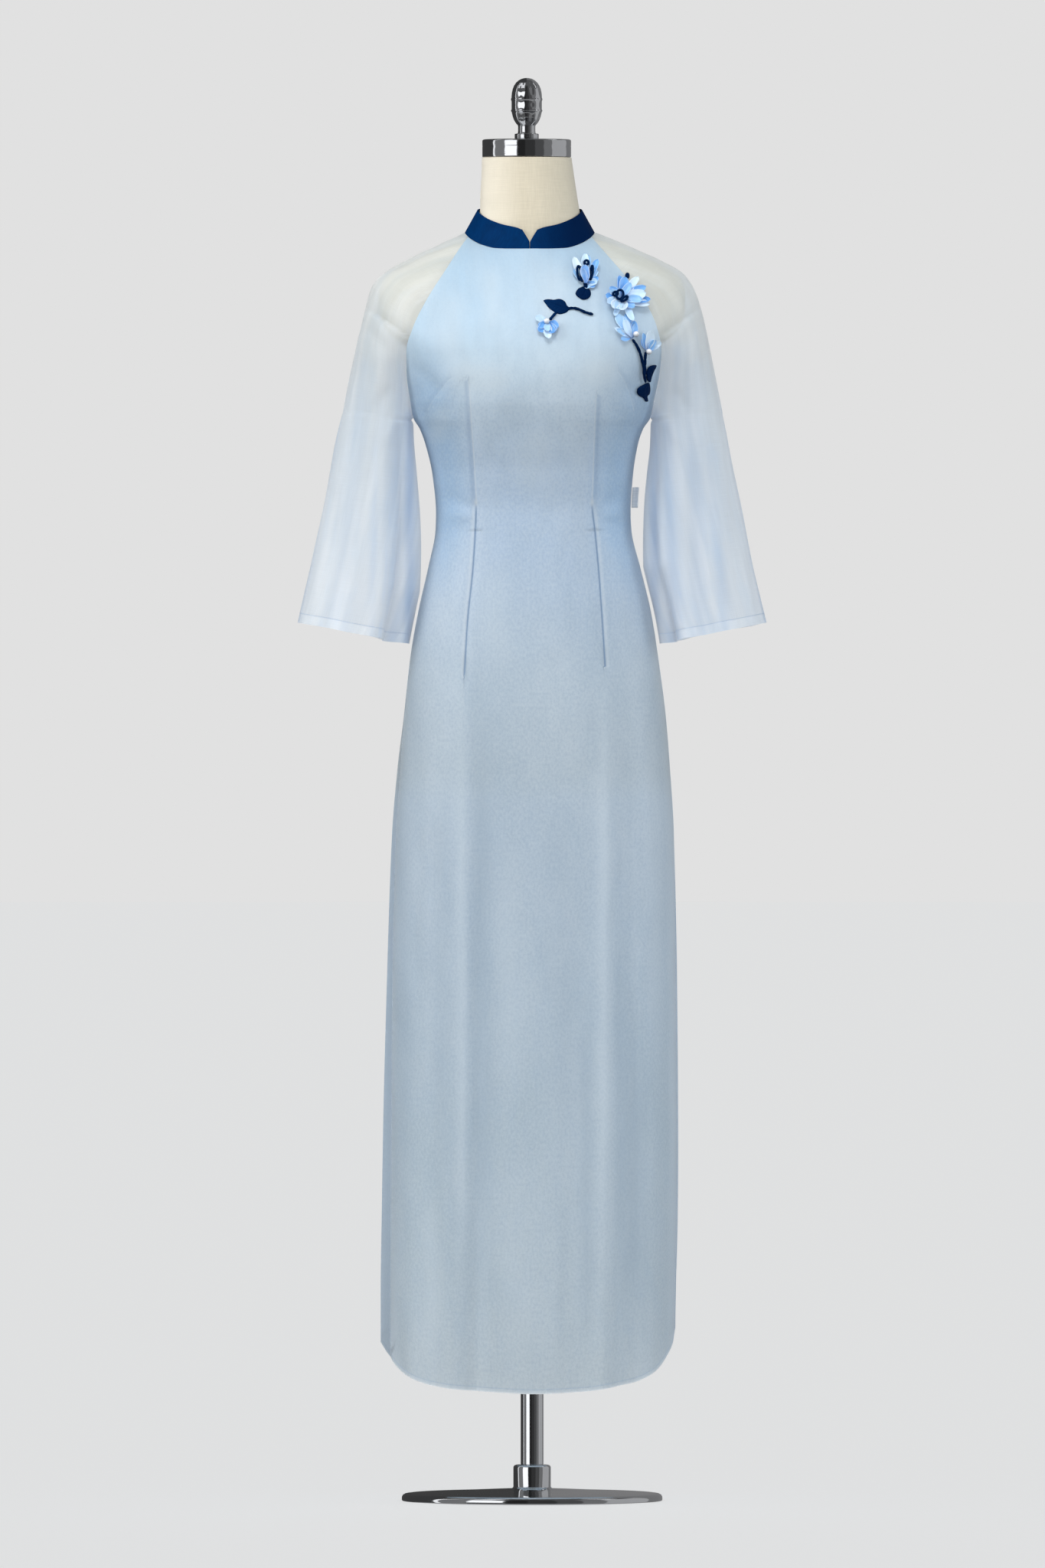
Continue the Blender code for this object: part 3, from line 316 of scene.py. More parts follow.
BACK_PAINTED_LIGHT_AND_SHADE = [
    Crease(-171, 1120, -173, 140, 1.2, 14),
    Crease(171, 1120, 173, 140, 1.0, 12),
    Crease(-52, 1080, -54, 160, 0.8, 12),
    Crease(34, 1060, 38, 160, 0.8, 14),
    Crease(70, 900, 74, 160, -0.6, 14),
    Crease(-96, 900, -98, 160, -0.6, 14),
]
BACK_CREASES = [
    Crease(-108, 1230, -60, 1210, -1.2, 8),
    Crease(-104, 1192, -56, 1204, 1.0, 7),
    Crease(108, 1232, 62, 1210, -1.2, 8),
    Crease(106, 1194, 58, 1204, 1.0, 7),
    Crease(-142, 1400, -100, 1350, -1.8, 10),
    Crease(144, 1402, 102, 1350, -1.8, 10),
    Crease(-70, 1470, -40, 1430, 0.8, 12),
    Crease(66, 1472, 38, 1432, 0.8, 12),
    Crease(-112, 1110, -124, 700, 2.0, 13),
    Crease(112, 1100, 122, 720, 2.0, 13),
    Crease(-52, 1080, -54, 160, -2.0, 12),
    Crease(30, 1060, 34, 160, 2.0, 14),
    Crease(-150, 640, -152, 180, -2.4, 9),
    Crease(150, 600, 152, 190, -2.2, 9),
    Crease(104, 480, 104, 160, 1.8, 8),
    Crease(-12, 520, -12, 150, -1.6, 10),
]
SLEEVE_CREASES = [
    Crease(206, 1452, 176, 1400, -1.4, 9),
    Crease(190, 1490, 170, 1440, 1.0, 9),
    Crease(168, 1372, 196, 1330, -1.6, 8),
    Crease(160, 1336, 184, 1290, 1.4, 8),
    Crease(166, 1300, 172, 1080, -1.6, 6),
    Crease(182, 1340, 190, 1070, 1.4, 7),
    Crease(200, 1310, 212, 1070, -1.5, 8),
    Crease(224, 1300, 238, 1080, 1.5, 8),
    Crease(238, 1250, 262, 1090, -1.4, 7),
    Crease(154, 1250, 158, 1070, 1.3, 5),
    Crease(246, 1190, 272, 1090, 1.0, 5),
]

# Darts: lines in front view from top to foot.
Dart = namedtuple("Dart", "strength points")
FRONT_DARTS = [
    Dart(1.0, [(-77, 1372), (-74, 1320), (-70, 1260), (-68.5, 1225), (-72, 1150), (-79, 1080), (-83, 1012)]),
    Dart(1.0, [(78, 1354), (76, 1300), (74, 1240), (73.5, 1225), (77, 1190), (81, 1149), (86, 1080),
               (89.5, 1024)]),
    Dart(0.4, [(-99.6, 1377), (-106, 1370), (-113, 1361), (-120.5, 1351), (-127.8, 1338)]),
    Dart(0.4, [(103.4, 1387), (108, 1381.5), (113.6, 1372), (119.4, 1358), (125, 1338)]),
]
BACK_DARTS = [
    Dart(1.0, [(-72, 1352), (-68, 1290), (-64, 1222), (-66, 1140), (-72, 1052)]),
    Dart(1.0, [(70, 1352), (66, 1290), (62, 1222), (64, 1140), (70, 1052)]),
]
WAIST_HEIGHT = 1225
DART_LENGTH_WEIGHT = 2.5


def smooth_curve(x, y, at):
    """Values at `at` on a smooth curve through the points (x, y) that never overshoots them."""
    x, y, at = (np.asarray(a, float) for a in (x, y, at))
    step = np.diff(x)
    slope = np.diff(y) / step
    tangent = np.concatenate([[slope[0]], np.zeros(len(x) - 2), [slope[-1]]])
    same_way = slope[:-1] * slope[1:] > 0
    total = np.where(same_way, slope[:-1] + slope[1:], 1)
    tangent[1:-1] = np.where(same_way, 2 * slope[:-1] * slope[1:] / total, 0)
    i = np.clip(np.searchsorted(x, at) - 1, 0, len(x) - 2)
    t = np.clip((at - x[i]) / step[i], 0, 1)
    rise = (3 - 2 * t) * t**2
    start = t * (1 - t) ** 2
    end = t**2 * (t - 1)
    return y[i] + (y[i + 1] - y[i]) * rise + step[i] * (start * tangent[i] + end * tangent[i + 1])


def read(table, name, at):
    key = table[0]._fields[0]
    rows = sorted(table, key=lambda row: getattr(row, key))
    return smooth_curve([getattr(r, key) for r in rows], [getattr(r, name) for r in rows], at)


def ease(value):
    t = np.clip(value, 0, 1)
    return t * t * (3 - 2 * t)


def power(base, exponent):
    return np.sign(base) * np.abs(base) ** exponent


def along(points, fractions, trim=0.0):
    """Points at fractions of the length of a polyline, which is trimmed at both ends first."""
    length = np.concatenate([[0], np.cumsum(np.linalg.norm(np.diff(points, axis=0), axis=1))])
    at = trim + np.asarray(fractions) * (length[-1] - 2 * trim)
    return np.stack([np.interp(at, length, points[:, k]) for k in range(points.shape[1])], axis=1)


def outward(points):
    way = np.gradient(points[:, :2], axis=0)
    normal = np.stack([way[:, 1], -way[:, 0], np.zeros(len(way))], axis=1)
    return normal / np.linalg.norm(normal, axis=1)[:, None]


def fold_depth(folds, height, x):
    total = np.zeros_like(x)
    for fold in folds:
        down = ease((fold.top_height - height) / (fold.top_height - fold.foot_height))
        middle = fold.top_x + (fold.foot_x - fold.top_x) * down
        depth = fold.top_depth + (fold.foot_depth - fold.top_depth) * down
        depth *= ease((fold.top_height + FOLD_START - height) / (2 * FOLD_START))
        total += depth * np.exp(-(((x - middle) / fold.half_width) ** 2))
    return total


def collar_seam(turn):
    angle = np.radians(turn)
    deep = np.where(np.cos(angle) > 0, COLLAR_SEAM_FRONT, COLLAR_SEAM_BACK)
    height = read(COLLAR_TURNS, "seam_height", np.degrees(np.arccos(np.cos(angle))))
    x = COLLAR_CENTRE_X + COLLAR_SEAM_HALF_WIDTH * np.sin(angle)
    return np.stack([x, -deep * np.cos(angle), height - SEAM_GAP], axis=-1)


def panel_section(sections, folds, hem, is_front, height):
    """A section of the front or back, from its left edge to its right, as 3D points."""
    bend = math.radians(float(read(sections, "bend", height)))
    full = 2 / float(read(sections, "fullness", height))
    edge = float(read(sections, "edge_depth", height))
    depth = float(read(sections, "depth", height))
    left = float(read(sections, "left", height))
    right = float(read(sections, "right", height))
    share = np.linspace(-1, 1, SECTION_POINTS)
    turn = share * bend
    x = (right - left) / 2 + (right + left) / 2 * power(np.sin(turn) / math.sin(bend), full)
    forward = (np.cos(turn) - math.cos(bend)) / (1 - math.cos(bend))
    y = edge + (depth - edge) * power(np.clip(forward, 0, 1), full)
    rise = read(hem, "rise", x) * ease((HEM_HEIGHT + HEM_LIFT_REACH - height) / HEM_LIFT_REACH)
    points = np.stack([x, -y if is_front else y, height + rise], axis=1)
    side = 1 if is_front else -1
    points += side * outward(points) * fold_depth(folds, height, x)[:, None]
    top = sections[0].height
    near_neck = ease((height - (top - NECK_BLEND_REACH)) / NECK_BLEND_REACH)
    neck = collar_seam(share * RAGLAN_TURN if is_front else 180 - share * RAGLAN_TURN)
    return points + (neck - points) * near_neck


def front_section(height):
    return panel_section(FRONT_SECTIONS, FRONT_FOLDS, FRONT_HEM, True, height)


def back_section(height):
    return panel_section(BACK_SECTIONS, BACK_FOLDS, BACK_HEM, False, height)


def sleeve_flutes(flutes, angle, height):
    hem = SLEEVE_SECTIONS[-1].inner_height
    strength = np.clip((FLUTE_TOP_HEIGHT - height) / (FLUTE_TOP_HEIGHT - hem), 0, 1) ** FLUTE_GROWTH
    total = np.zeros_like(angle)
    for flute in flutes:
        total += flute.depth * np.exp(-(((np.degrees(angle) - flute.angle) / flute.half_angle) ** 2))
    return total * strength


def half_sleeve(seam_point, outer_point, half_depth, full):
    deep = max(half_depth, abs(seam_point[1]) + 0.01)
    seam_sine = (abs(seam_point[1]) / deep) ** (full / 2)
    seam_angle = math.pi - math.asin(seam_sine)
    seam_reach = math.cos(math.pi - seam_angle) ** (2 / full)
    centre = (seam_point[0] + seam_reach * outer_point[0]) / (1 + seam_reach)
    angle = np.linspace(seam_angle, 0, HALF_SLEEVE_POINTS)
    x = centre + (outer_point[0] - centre) * power(np.cos(angle), 2 / full)
    y = deep * power(np.sin(angle), 2 / full)
    fall = (1 - np.cos(angle)) / (1 - math.cos(seam_angle))
    z = outer_point[2] + (seam_point[2] - outer_point[2]) * fall
    return angle, np.stack([x, y, z], axis=1)


def sleeve_section(side, seam_height):
    """A section of a sleeve from its front seam round its outer line to its back seam."""
    is_right = side > 0
    flutes = RIGHT_FLUTES if is_right else LEFT_FLUTES
    end = -1 if is_right else 0
    mirror = np.array([side, 1, 1])
    if seam_height >= UNDERARM_HEIGHT:
        outer = float(read(SHOULDER_SECTIONS, "outer_right" if is_right else "outer_left", seam_height))
        outer_height = float(read(SHOULDER_SECTIONS, "outer_height", seam_height))
        half_depth = float(read(SHOULDER_SECTIONS, "half_depth", seam_height))
        full = float(read(SHOULDER_SECTIONS, "fullness", seam_height))
        neck_share = (seam_height - UNDERARM_HEIGHT) / (FRONT_NECK_HEIGHT - UNDERARM_HEIGHT)
        back_height = UNDERARM_HEIGHT + (BACK_NECK_HEIGHT - UNDERARM_HEIGHT) * neck_share
        front_seam = front_section(seam_height)[end] * mirror
        back_seam = back_section(back_height)[end] * mirror
    else:
        outer = float(read(SLEEVE_SECTIONS, "outer", seam_height))
        outer_height = float(read(SLEEVE_SECTIONS, "outer_height", seam_height))
        half_depth = float(read(SLEEVE_SECTIONS, "half_depth", seam_height))
        full = 2.0
        body = float(read(FRONT_SECTIONS, "right" if is_right else "left", seam_height))
        inner = max(float(read(SLEEVE_SECTIONS, "inner", seam_height)), body + SLEEVE_BODY_CLEARANCE)
        front_seam = back_seam = np.array([inner, 0.0, seam_height])
    outer_point = np.array([outer, 0.0, outer_height])
    front_angle, front = half_sleeve(front_seam, outer_point, half_depth, full)
    back_angle, back = half_sleeve(back_seam, outer_point, half_depth, full)
    points = np.concatenate([front * [1, -1, 1], back[-2::-1]])
    angle = np.concatenate([front_angle, -back_angle[-2::-1]])
    normal = np.zeros_like(points)
    normal[:, 0] = np.cos(angle)
    normal[:, 1] = -np.sin(angle)
    points += normal * sleeve_flutes(flutes, angle, seam_height)[:, None]
    near_neck = ease((seam_height - (FRONT_NECK_HEIGHT - NECK_BLEND_REACH)) / NECK_BLEND_REACH)
    turn = np.linspace(RAGLAN_TURN, 180 - RAGLAN_TURN, len(points))
    neck = collar_seam(side * turn) * mirror
    points += (neck - points) * near_neck
    return points * mirror


def collar_section(side, share, row):
    front_turn = NOTCH_TURN * max(0, (row - NOTCH_FOOT) / (1 - NOTCH_FOOT)) ** NOTCH_ROUNDING
    turn = front_turn + (180 - front_turn) * share
    angle = math.radians(turn)
    is_front = math.cos(angle) > 0
    seam_deep = COLLAR_SEAM_FRONT if is_front else COLLAR_SEAM_BACK
    top_deep = COLLAR_TOP_FRONT if is_front else COLLAR_TOP_BACK
    width = COLLAR_SEAM_HALF_WIDTH + (COLLAR_TOP_HALF_WIDTH - COLLAR_SEAM_HALF_WIDTH) * row
    deep = seam_deep + (top_deep - seam_deep) * row
    seam = float(read(COLLAR_TURNS, "seam_height", turn))
    top = float(read(COLLAR_TURNS, "top_height", turn))
    x = COLLAR_CENTRE_X + side * width * math.sin(angle)
    return np.array([x, -deep * math.cos(angle), seam + (top - seam) * row])


def grid_normals(grid):
    """Unit normals of a grid of points whose columns run to the right and rows run down."""
    across = np.gradient(grid, axis=1)
    down = np.gradient(grid, axis=0)
    normal = np.cross(down, across)
    return normal / np.maximum(np.linalg.norm(normal, axis=2), 1e-9)[:, :, None]


def crease_relief(creases, x, height, mirror=1):
    """How far a list of creases moves a surface at points of the front view."""
    total = np.zeros_like(x)
    for crease in creases:
        start = np.array([crease.x * mirror, crease.height])
        way = np.array([crease.end_x * mirror, crease.end_height]) - start
        length = np.linalg.norm(way)
        way = way / length
        run = (x - start[0]) * way[0] + (height - start[1]) * way[1]
        off = (x - start[0]) * way[1] - (height - start[1]) * way[0]
        off = off + 0.10 * crease.half_width * np.sin(run / 23.0 + crease.x)
        fade = ease(run / (0.35 * length)) * ease((length - run) / (0.35 * length))
        total += crease.depth * fade * np.exp(-((off / crease.half_width) ** 2))
    return total


def soft_noise(x, y, size, seed):
    """A smooth field between about -1 and 1, from a few waves of about one size."""
    rng = np.random.default_rng(seed)
    total = np.zeros_like(x)
    for _ in range(9):
        turn = rng.uniform(0, 2 * math.pi)
        wave = 2 * math.pi / (size * rng.uniform(0.7, 1.5))
        total += np.sin((x * math.cos(turn) + y * math.sin(turn)) * wave + rng.uniform(0, 2 * math.pi))
    return total / 4.0


def dart_distance(darts, x, height):
    """Distance outwards across the nearest dart, and how strong that dart is."""
    nearest = np.full_like(x, 99.0)
    strength = np.zeros_like(x)
    for dart in darts:
        points = np.array(sorted(dart.points, key=lambda p: p[1]), float)
        at = smooth_curve(points[:, 1], points[:, 0], np.clip(height, points[0, 1], points[-1, 1]))
        past = np.maximum(points[0, 1] - height, height - points[-1, 1])
        past = np.maximum(past, 0) * DART_LENGTH_WEIGHT
        off = np.where(x - at < 0, -1, 1) * np.hypot(x - at, past)
        is_nearer = np.abs(off) < np.abs(nearest)
        nearest = np.where(is_nearer, off, nearest)
        strength = np.where(is_nearer, dart.strength, strength)
    return nearest * np.sign(x + 0.001), strength


def mesh_of(name, grid, closed=False, marks=None, uv=None):
    """A mesh from a grid of points in millimetres, with a UV map in metres and marks per point."""
    rows, columns = grid.shape[:2]
    verts = (grid.reshape(-1, 3) * MM).tolist()
    faces = []
    for r in range(rows - 1):
        for c in range(columns if closed else columns - 1):
            d = (c + 1) % columns
            faces.append((r * columns + c, (r + 1) * columns + c, (r + 1) * columns + d, r * columns + d))
    mesh = bpy.data.meshes.new(name)
    mesh.from_pydata(verts, [], faces)
    if uv is not None:
        layer = mesh.uv_layers.new(name="cloth")
        corners = np.empty(len(mesh.loops), dtype=np.int32)
        mesh.loops.foreach_get("vertex_index", corners)
        layer.data.foreach_set("uv", (uv.reshape(-1, 2) * MM)[corners].ravel())
    for key, values in (marks or {}).items():
        mark = mesh.attributes.new(key, "FLOAT", "POINT")
        mark.data.foreach_set("value", np.ascontiguousarray(values, dtype=np.float32).ravel())
    mesh.shade_smooth()
    return mesh


def cut_plan(grid):
    """Where each point of a grid lies on its flat cut: across from the middle, and down."""
    across = np.cumsum(np.linalg.norm(np.diff(grid, axis=1, prepend=grid[:, :1]), axis=2), axis=1)
    across -= across[:, -1:] / 2
    middle = grid[:, grid.shape[1] // 2]
    down = np.cumsum(np.linalg.norm(np.diff(middle, axis=0, prepend=middle[:1]), axis=1))
    return np.stack([across, np.broadcast_to(-down[:, None], across.shape)], axis=2)


def flat_area(grid):
    """The area of a grid's surface, in square metres."""
    one = np.linalg.norm(np.cross(grid[1:, :-1] - grid[:-1, :-1], grid[:-1, 1:] - grid[:-1, :-1]), axis=2)
    two = np.linalg.norm(np.cross(grid[1:, :-1] - grid[1:, 1:], grid[:-1, 1:] - grid[1:, 1:]), axis=2)
    return float((one + two).sum() / 2 * MM * MM)


def add_piece(name, mesh, finish, wall=None):
    piece = bpy.data.objects.new(name, mesh)
    bpy.context.scene.collection.objects.link(piece)
    mesh.materials.append(finish)
    if wall:
        solidify = piece.modifiers.new("Wall", "SOLIDIFY")
        solidify.thickness = wall * MM
        solidify.offset = -1
        solidify.use_even_offset = False
    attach(piece, "root")
    return piece


class Value:
    """A number over a surface: arithmetic on it adds Math nodes to its material."""

    def __init__(self, finish, socket):
        self.finish = finish
        self.socket = socket

    def math(self, operation, other=0.0):
        made = self.finish.node("ShaderNodeMath", {"operation": operation}, slot0=self, slot1=other)
        return Value(self.finish, made.outputs[0])

    def reverse(self, operation, other):
        made = self.finish.node("ShaderNodeMath", {"operation": operation}, slot0=other, slot1=self)
        return Value(self.finish, made.outputs[0])

    def __add__(self, other):
        return self.math("ADD", other)

    def __radd__(self, other):
        return self.math("ADD", other)

    def __sub__(self, other):
        return self.math("SUBTRACT", other)

    def __rsub__(self, other):
        return self.reverse("SUBTRACT", other)

    def __mul__(self, other):
        return self.math("MULTIPLY", other)

    def __rmul__(self, other):
        return self.math("MULTIPLY", other)

    def __truediv__(self, other):
        return self.math("DIVIDE", other)

    def __neg__(self):
        return self.math("MULTIPLY", -1.0)

    def bell(self, width):
        """1 where this is 0, and down to 0 within about two widths."""
        scaled = self / width
        return (-(scaled * scaled)).math("EXPONENT")

    def ramp(self, low, high):
        """0 at low, 1 at high, straight between."""
        return ((self - low) / (high - low)).math("MAXIMUM", 0.0).math("MINIMUM", 1.0)


def feed(tree, socket, value):
    """Sets a socket to a value, or links a number or a socket to it."""
    if isinstance(value, Value):
        tree.links.new(value.socket, socket)
    elif isinstance(value, bpy.types.NodeSocket):
        tree.links.new(value, socket)
    elif isinstance(value, tuple) and socket.type == "RGBA":
        socket.default_value = (*value[:3], 1)
    else:
        socket.default_value = value


def add_node(tree, kind, settings=None, **sockets):
    """A node: its settings first, then the values or links of its sockets, by name or as slot3."""
    made = tree.nodes.new(kind)
    for key, value in (settings or {}).items():
        if key == "stops":
            ramp = made.color_ramp
            while len(ramp.elements) < len(value):
                ramp.elements.new(0.5)
            for element, (place, colour) in zip(ramp.elements, value):
                element.position = place
                element.color = (*colour, 1)
        else:
            setattr(made, key, value)
    for key, value in sockets.items():
        place = int(key[4:]) if key.startswith("slot") else key.replace("_", " ")
        feed(tree, made.inputs[place], value)
    return made


class Finish:
    """A material under construction round one Principled BSDF."""

    def __init__(self, name):
        self.material = bpy.data.materials.new(name)
        self.material.use_nodes = True
        self.tree = self.material.node_tree
        self.shader = self.tree.nodes["Principled BSDF"]

    def feed(self, socket, value):
        feed(self.tree, socket, value)

    def node(self, kind, settings=None, **sockets):
        return add_node(self.tree, kind, settings, **sockets)

    def mark(self, name):
        return Value(self, self.node("ShaderNodeAttribute", {"attribute_name": name}).outputs["Fac"])

    def places(self, kind="Object"):
        """X, Y and Z of Object coordinates, or across and down of the UV map, as numbers."""
        split = self.node("ShaderNodeSeparateXYZ", Vector=self.node("ShaderNodeTexCoord").outputs[kind])
        return [Value(self, out) for out in split.outputs]

    def vector(self, x, y, z=0.0):
        return self.node("ShaderNodeCombineXYZ", X=x, Y=y, Z=z).outputs[0]

    def noise(self, vector, scale, detail=2.0, roughness=0.5):
        made = self.node("ShaderNodeTexNoise", Vector=vector, Scale=scale, Detail=detail, Roughness=roughness)
        return Value(self, made.outputs["Fac"])

    def blend(self, factor, colour, other):
        """A colour between two, as a socket."""
        made = self.node("ShaderNodeMix", {"data_type": "RGBA"}, slot0=factor, slot6=colour, slot7=other)
        return made.outputs[2]

    def bump(self, height, distance, strength=1.0, under=None):
        made = self.node("ShaderNodeBump", Strength=strength, Distance=distance, Height=height)
        if under is not None:
            self.feed(made.inputs["Normal"], under)
        return made.outputs["Normal"]

    def let_light_through(self, share, colour):
        """Thin cloth glows a little where light falls on its other side."""
        glow = self.node("ShaderNodeBsdfTranslucent", Color=colour)
        mix = self.node("ShaderNodeMixShader", slot0=share, slot1=self.shader.outputs[0],
                        slot2=glow.outputs[0])
        self.feed(self.tree.nodes["Material Output"].inputs["Surface"], mix.outputs[0])

    def set(self, **sockets):
        for key, value in sockets.items():
            self.feed(self.shader.inputs[key.replace("_", " ")], value)


def tone(red, green, blue):
    """A colour from its eight-bit display values."""
    values = []
    for share in (red / 255, green / 255, blue / 255):
        values.append(share / 12.92 if share <= 0.04045 else ((share + 0.055) / 1.055) ** 2.4)
    return tuple(values)


THREADS = 1700
THREAD_RUN = 34
WEAVE_DEPTH = 0.00016


def thread_bump(finish, across, down, strength=0.25):
    """Plain weave with uneven threads, felt more than seen."""
    warp = finish.noise(finish.vector(across * THREADS, down * THREAD_RUN), 1.0)
    weft = finish.noise(finish.vector(across * THREAD_RUN, down * THREADS), 1.0)
    return finish.bump(warp + weft, WEAVE_DEPTH, strength), warp, weft


SILK_STOPS = [
    (0.00, tone(200, 211, 215)),
    (0.08, tone(194, 208, 215)),
    (0.22, tone(188, 204, 213)),
    (0.45, tone(193, 209, 223)),
    (0.62, tone(192, 210, 228)),
    (0.72, tone(185, 207, 234)),
    (0.80, tone(196, 219, 247)),
    (0.86, tone(211, 231, 250)),
    (0.895, tone(210, 234, 253)),
    (0.93, tone(197, 227, 252)),
    (1.00, tone(178, 213, 241)),
]


def make_silk():
    """Light blue silk, bluer at the chest and greyer at the hem, with darts, hems and puckers, and painted
    light and shade along its folds, darts and edges.
    """
    finish = Finish("light_blue_silk")
    across, down, _ = finish.places("UV")
    _, _, z = finish.places()
    share = z.ramp(HEM_HEIGHT * MM, FRONT_NECK_HEIGHT * MM)
    ramp = finish.node("ShaderNodeValToRGB", {"stops": SILK_STOPS}, Fac=share)
    colour = ramp.outputs["Color"]
    cloud = finish.noise(finish.vector(across * 9, down * 3.5), 1.0, 3.0)
    colour = finish.blend(cloud.ramp(0.38, 0.72) * 0.30, colour, tone(228, 238, 247))
    torso = z.ramp(1.10, 1.20) * (1 - z.ramp(1.36, 1.43))
    side = finish.mark("side").ramp(0.52, 0.80)
    colour = finish.blend(side * torso * 0.85, colour, tone(164, 202, 240))
    mist = finish.noise(finish.vector(across * 60, down * 22), 1.0, 3.0, 0.6)
    colour = finish.blend(mist.ramp(0.40, 0.72) * 0.22, colour, tone(166, 190, 212))
    sweep = finish.noise(finish.vector(across * 7 + down * 3.2, down * 2.0 - across * 2.0), 1.0, 2.0)
    colour = finish.blend(sweep.ramp(0.48, 0.78) * 0.30, colour, tone(226, 237, 247))
    threads, warp, weft = thread_bump(finish, across, down)
    slub = (warp * 0.5 + weft * 0.5).ramp(0.42, 0.62)
    colour = finish.blend(slub * 0.10, colour, tone(240, 246, 252))
    grain = finish.noise(finish.vector(across * 330, down * 230), 1.0, 2.0, 0.65)
    clear = 1 - z.ramp(1.34, 1.42) * 0.7
    colour = finish.blend(grain.ramp(0.46, 0.70) * clear * 0.28, colour, tone(236, 243, 250))
    colour = finish.blend((1 - grain.ramp(0.30, 0.50)) * clear * 0.22, colour, tone(140, 162, 190))
    # Painted highlight: the outermost edges of the panels, below the slit tops, made paler.
    outer = finish.mark("side").ramp(0.93, 0.99) * (1 - z.ramp(1.04, 1.14))
    colour = finish.blend(outer * 0.45, colour, tone(228, 238, 246))
    # The sheen mark is painted light and shade along the folds: lighter above 0, darker below.
    sheen = finish.mark("sheen")
    colour = finish.blend(sheen.ramp(0.0, 1.0) * 0.38, colour, tone(232, 243, 251))
    colour = finish.blend((sheen * -1.0).ramp(0.0, 1.0) * 0.40, colour, tone(156, 174, 190))
    dart = finish.mark("dart")
    near = finish.mark("dart_near")
    above = z.ramp((WAIST_HEIGHT - 12) * MM, (WAIST_HEIGHT + 8) * MM)
    notch = (z - WAIST_HEIGHT * MM).bell(0.004)
    # Painted highlight along the dart's fold and its lit side, painted shade in its crease and beside it, and
    # a painted highlight at the waist notch.
    dart_painted_highlight = dart.bell(0.9) * near * above * 0.55 + (dart - 3.2).bell(2.2) * near * (1 - above) * 0.40
    dart_painted_shade = dart.bell(1.0) * near * (1 - above) * 0.95 + (dart - 3.6).bell(3.2) * near * above * 0.30
    colour = finish.blend(dart_painted_shade.math("MINIMUM", 1.0), colour, tone(104, 142, 190))
    colour = finish.blend(dart_painted_highlight, colour, tone(232, 242, 252))
    colour = finish.blend(dart.bell(2.0) * notch * near * 0.6, colour, tone(240, 247, 253))
    edge = finish.mark("edge")
    hem_fold_and_highlight = edge.bell(1.3)
    band = 1 - edge.ramp(4.0, 5.2)
    colour = finish.blend((1 - edge.ramp(4.0, 24.0)) * 0.20, colour, tone(220, 229, 234))
    colour = finish.blend(band * 0.35, colour, tone(226, 235, 241))
    # Painted highlight along the hem's rolled fold.
    colour = finish.blend(hem_fold_and_highlight * 0.9, colour, tone(248, 251, 252))
    colour = finish.blend((edge - 5.4).bell(0.8) * 0.35, colour, tone(160, 182, 206))
    run = finish.mark("run")
    tuck = finish.noise(finish.vector(run * 0.16, edge * 0.02), 1.0, 2.0)
    tucks = (tuck - 0.5) * (1 - edge.ramp(2.0, 34.0))
    groove = dart.bell(1.1) * near * (0.5 * above - 1.1)
    height = groove + tucks * 3.2 + band * 0.35 + hem_fold_and_highlight * 0.3 + grain * 0.12
    drag = finish.noise(finish.vector(run * 0.09, down * 4.0), 1.0, 2.0)
    height = height + (drag - 0.5) * dart.bell(9.0) * near * 1.1
    ripple = finish.noise(finish.vector(across * 26, down * 6), 1.0, 2.0)
    height = height + (ripple - 0.5) * 0.9
    normal = finish.bump(height, 0.001, 0.6, threads)
    finish.set(Base_Color=colour, Roughness=0.46 + 0.10 * (mist - 0.5), Normal=normal)
    finish.set(Sheen_Weight=0.25, Sheen_Roughness=0.45, IOR=1.45, Specular_IOR_Level=0.45)
    finish.let_light_through(0.35, tone(208, 222, 236))
    return finish.material


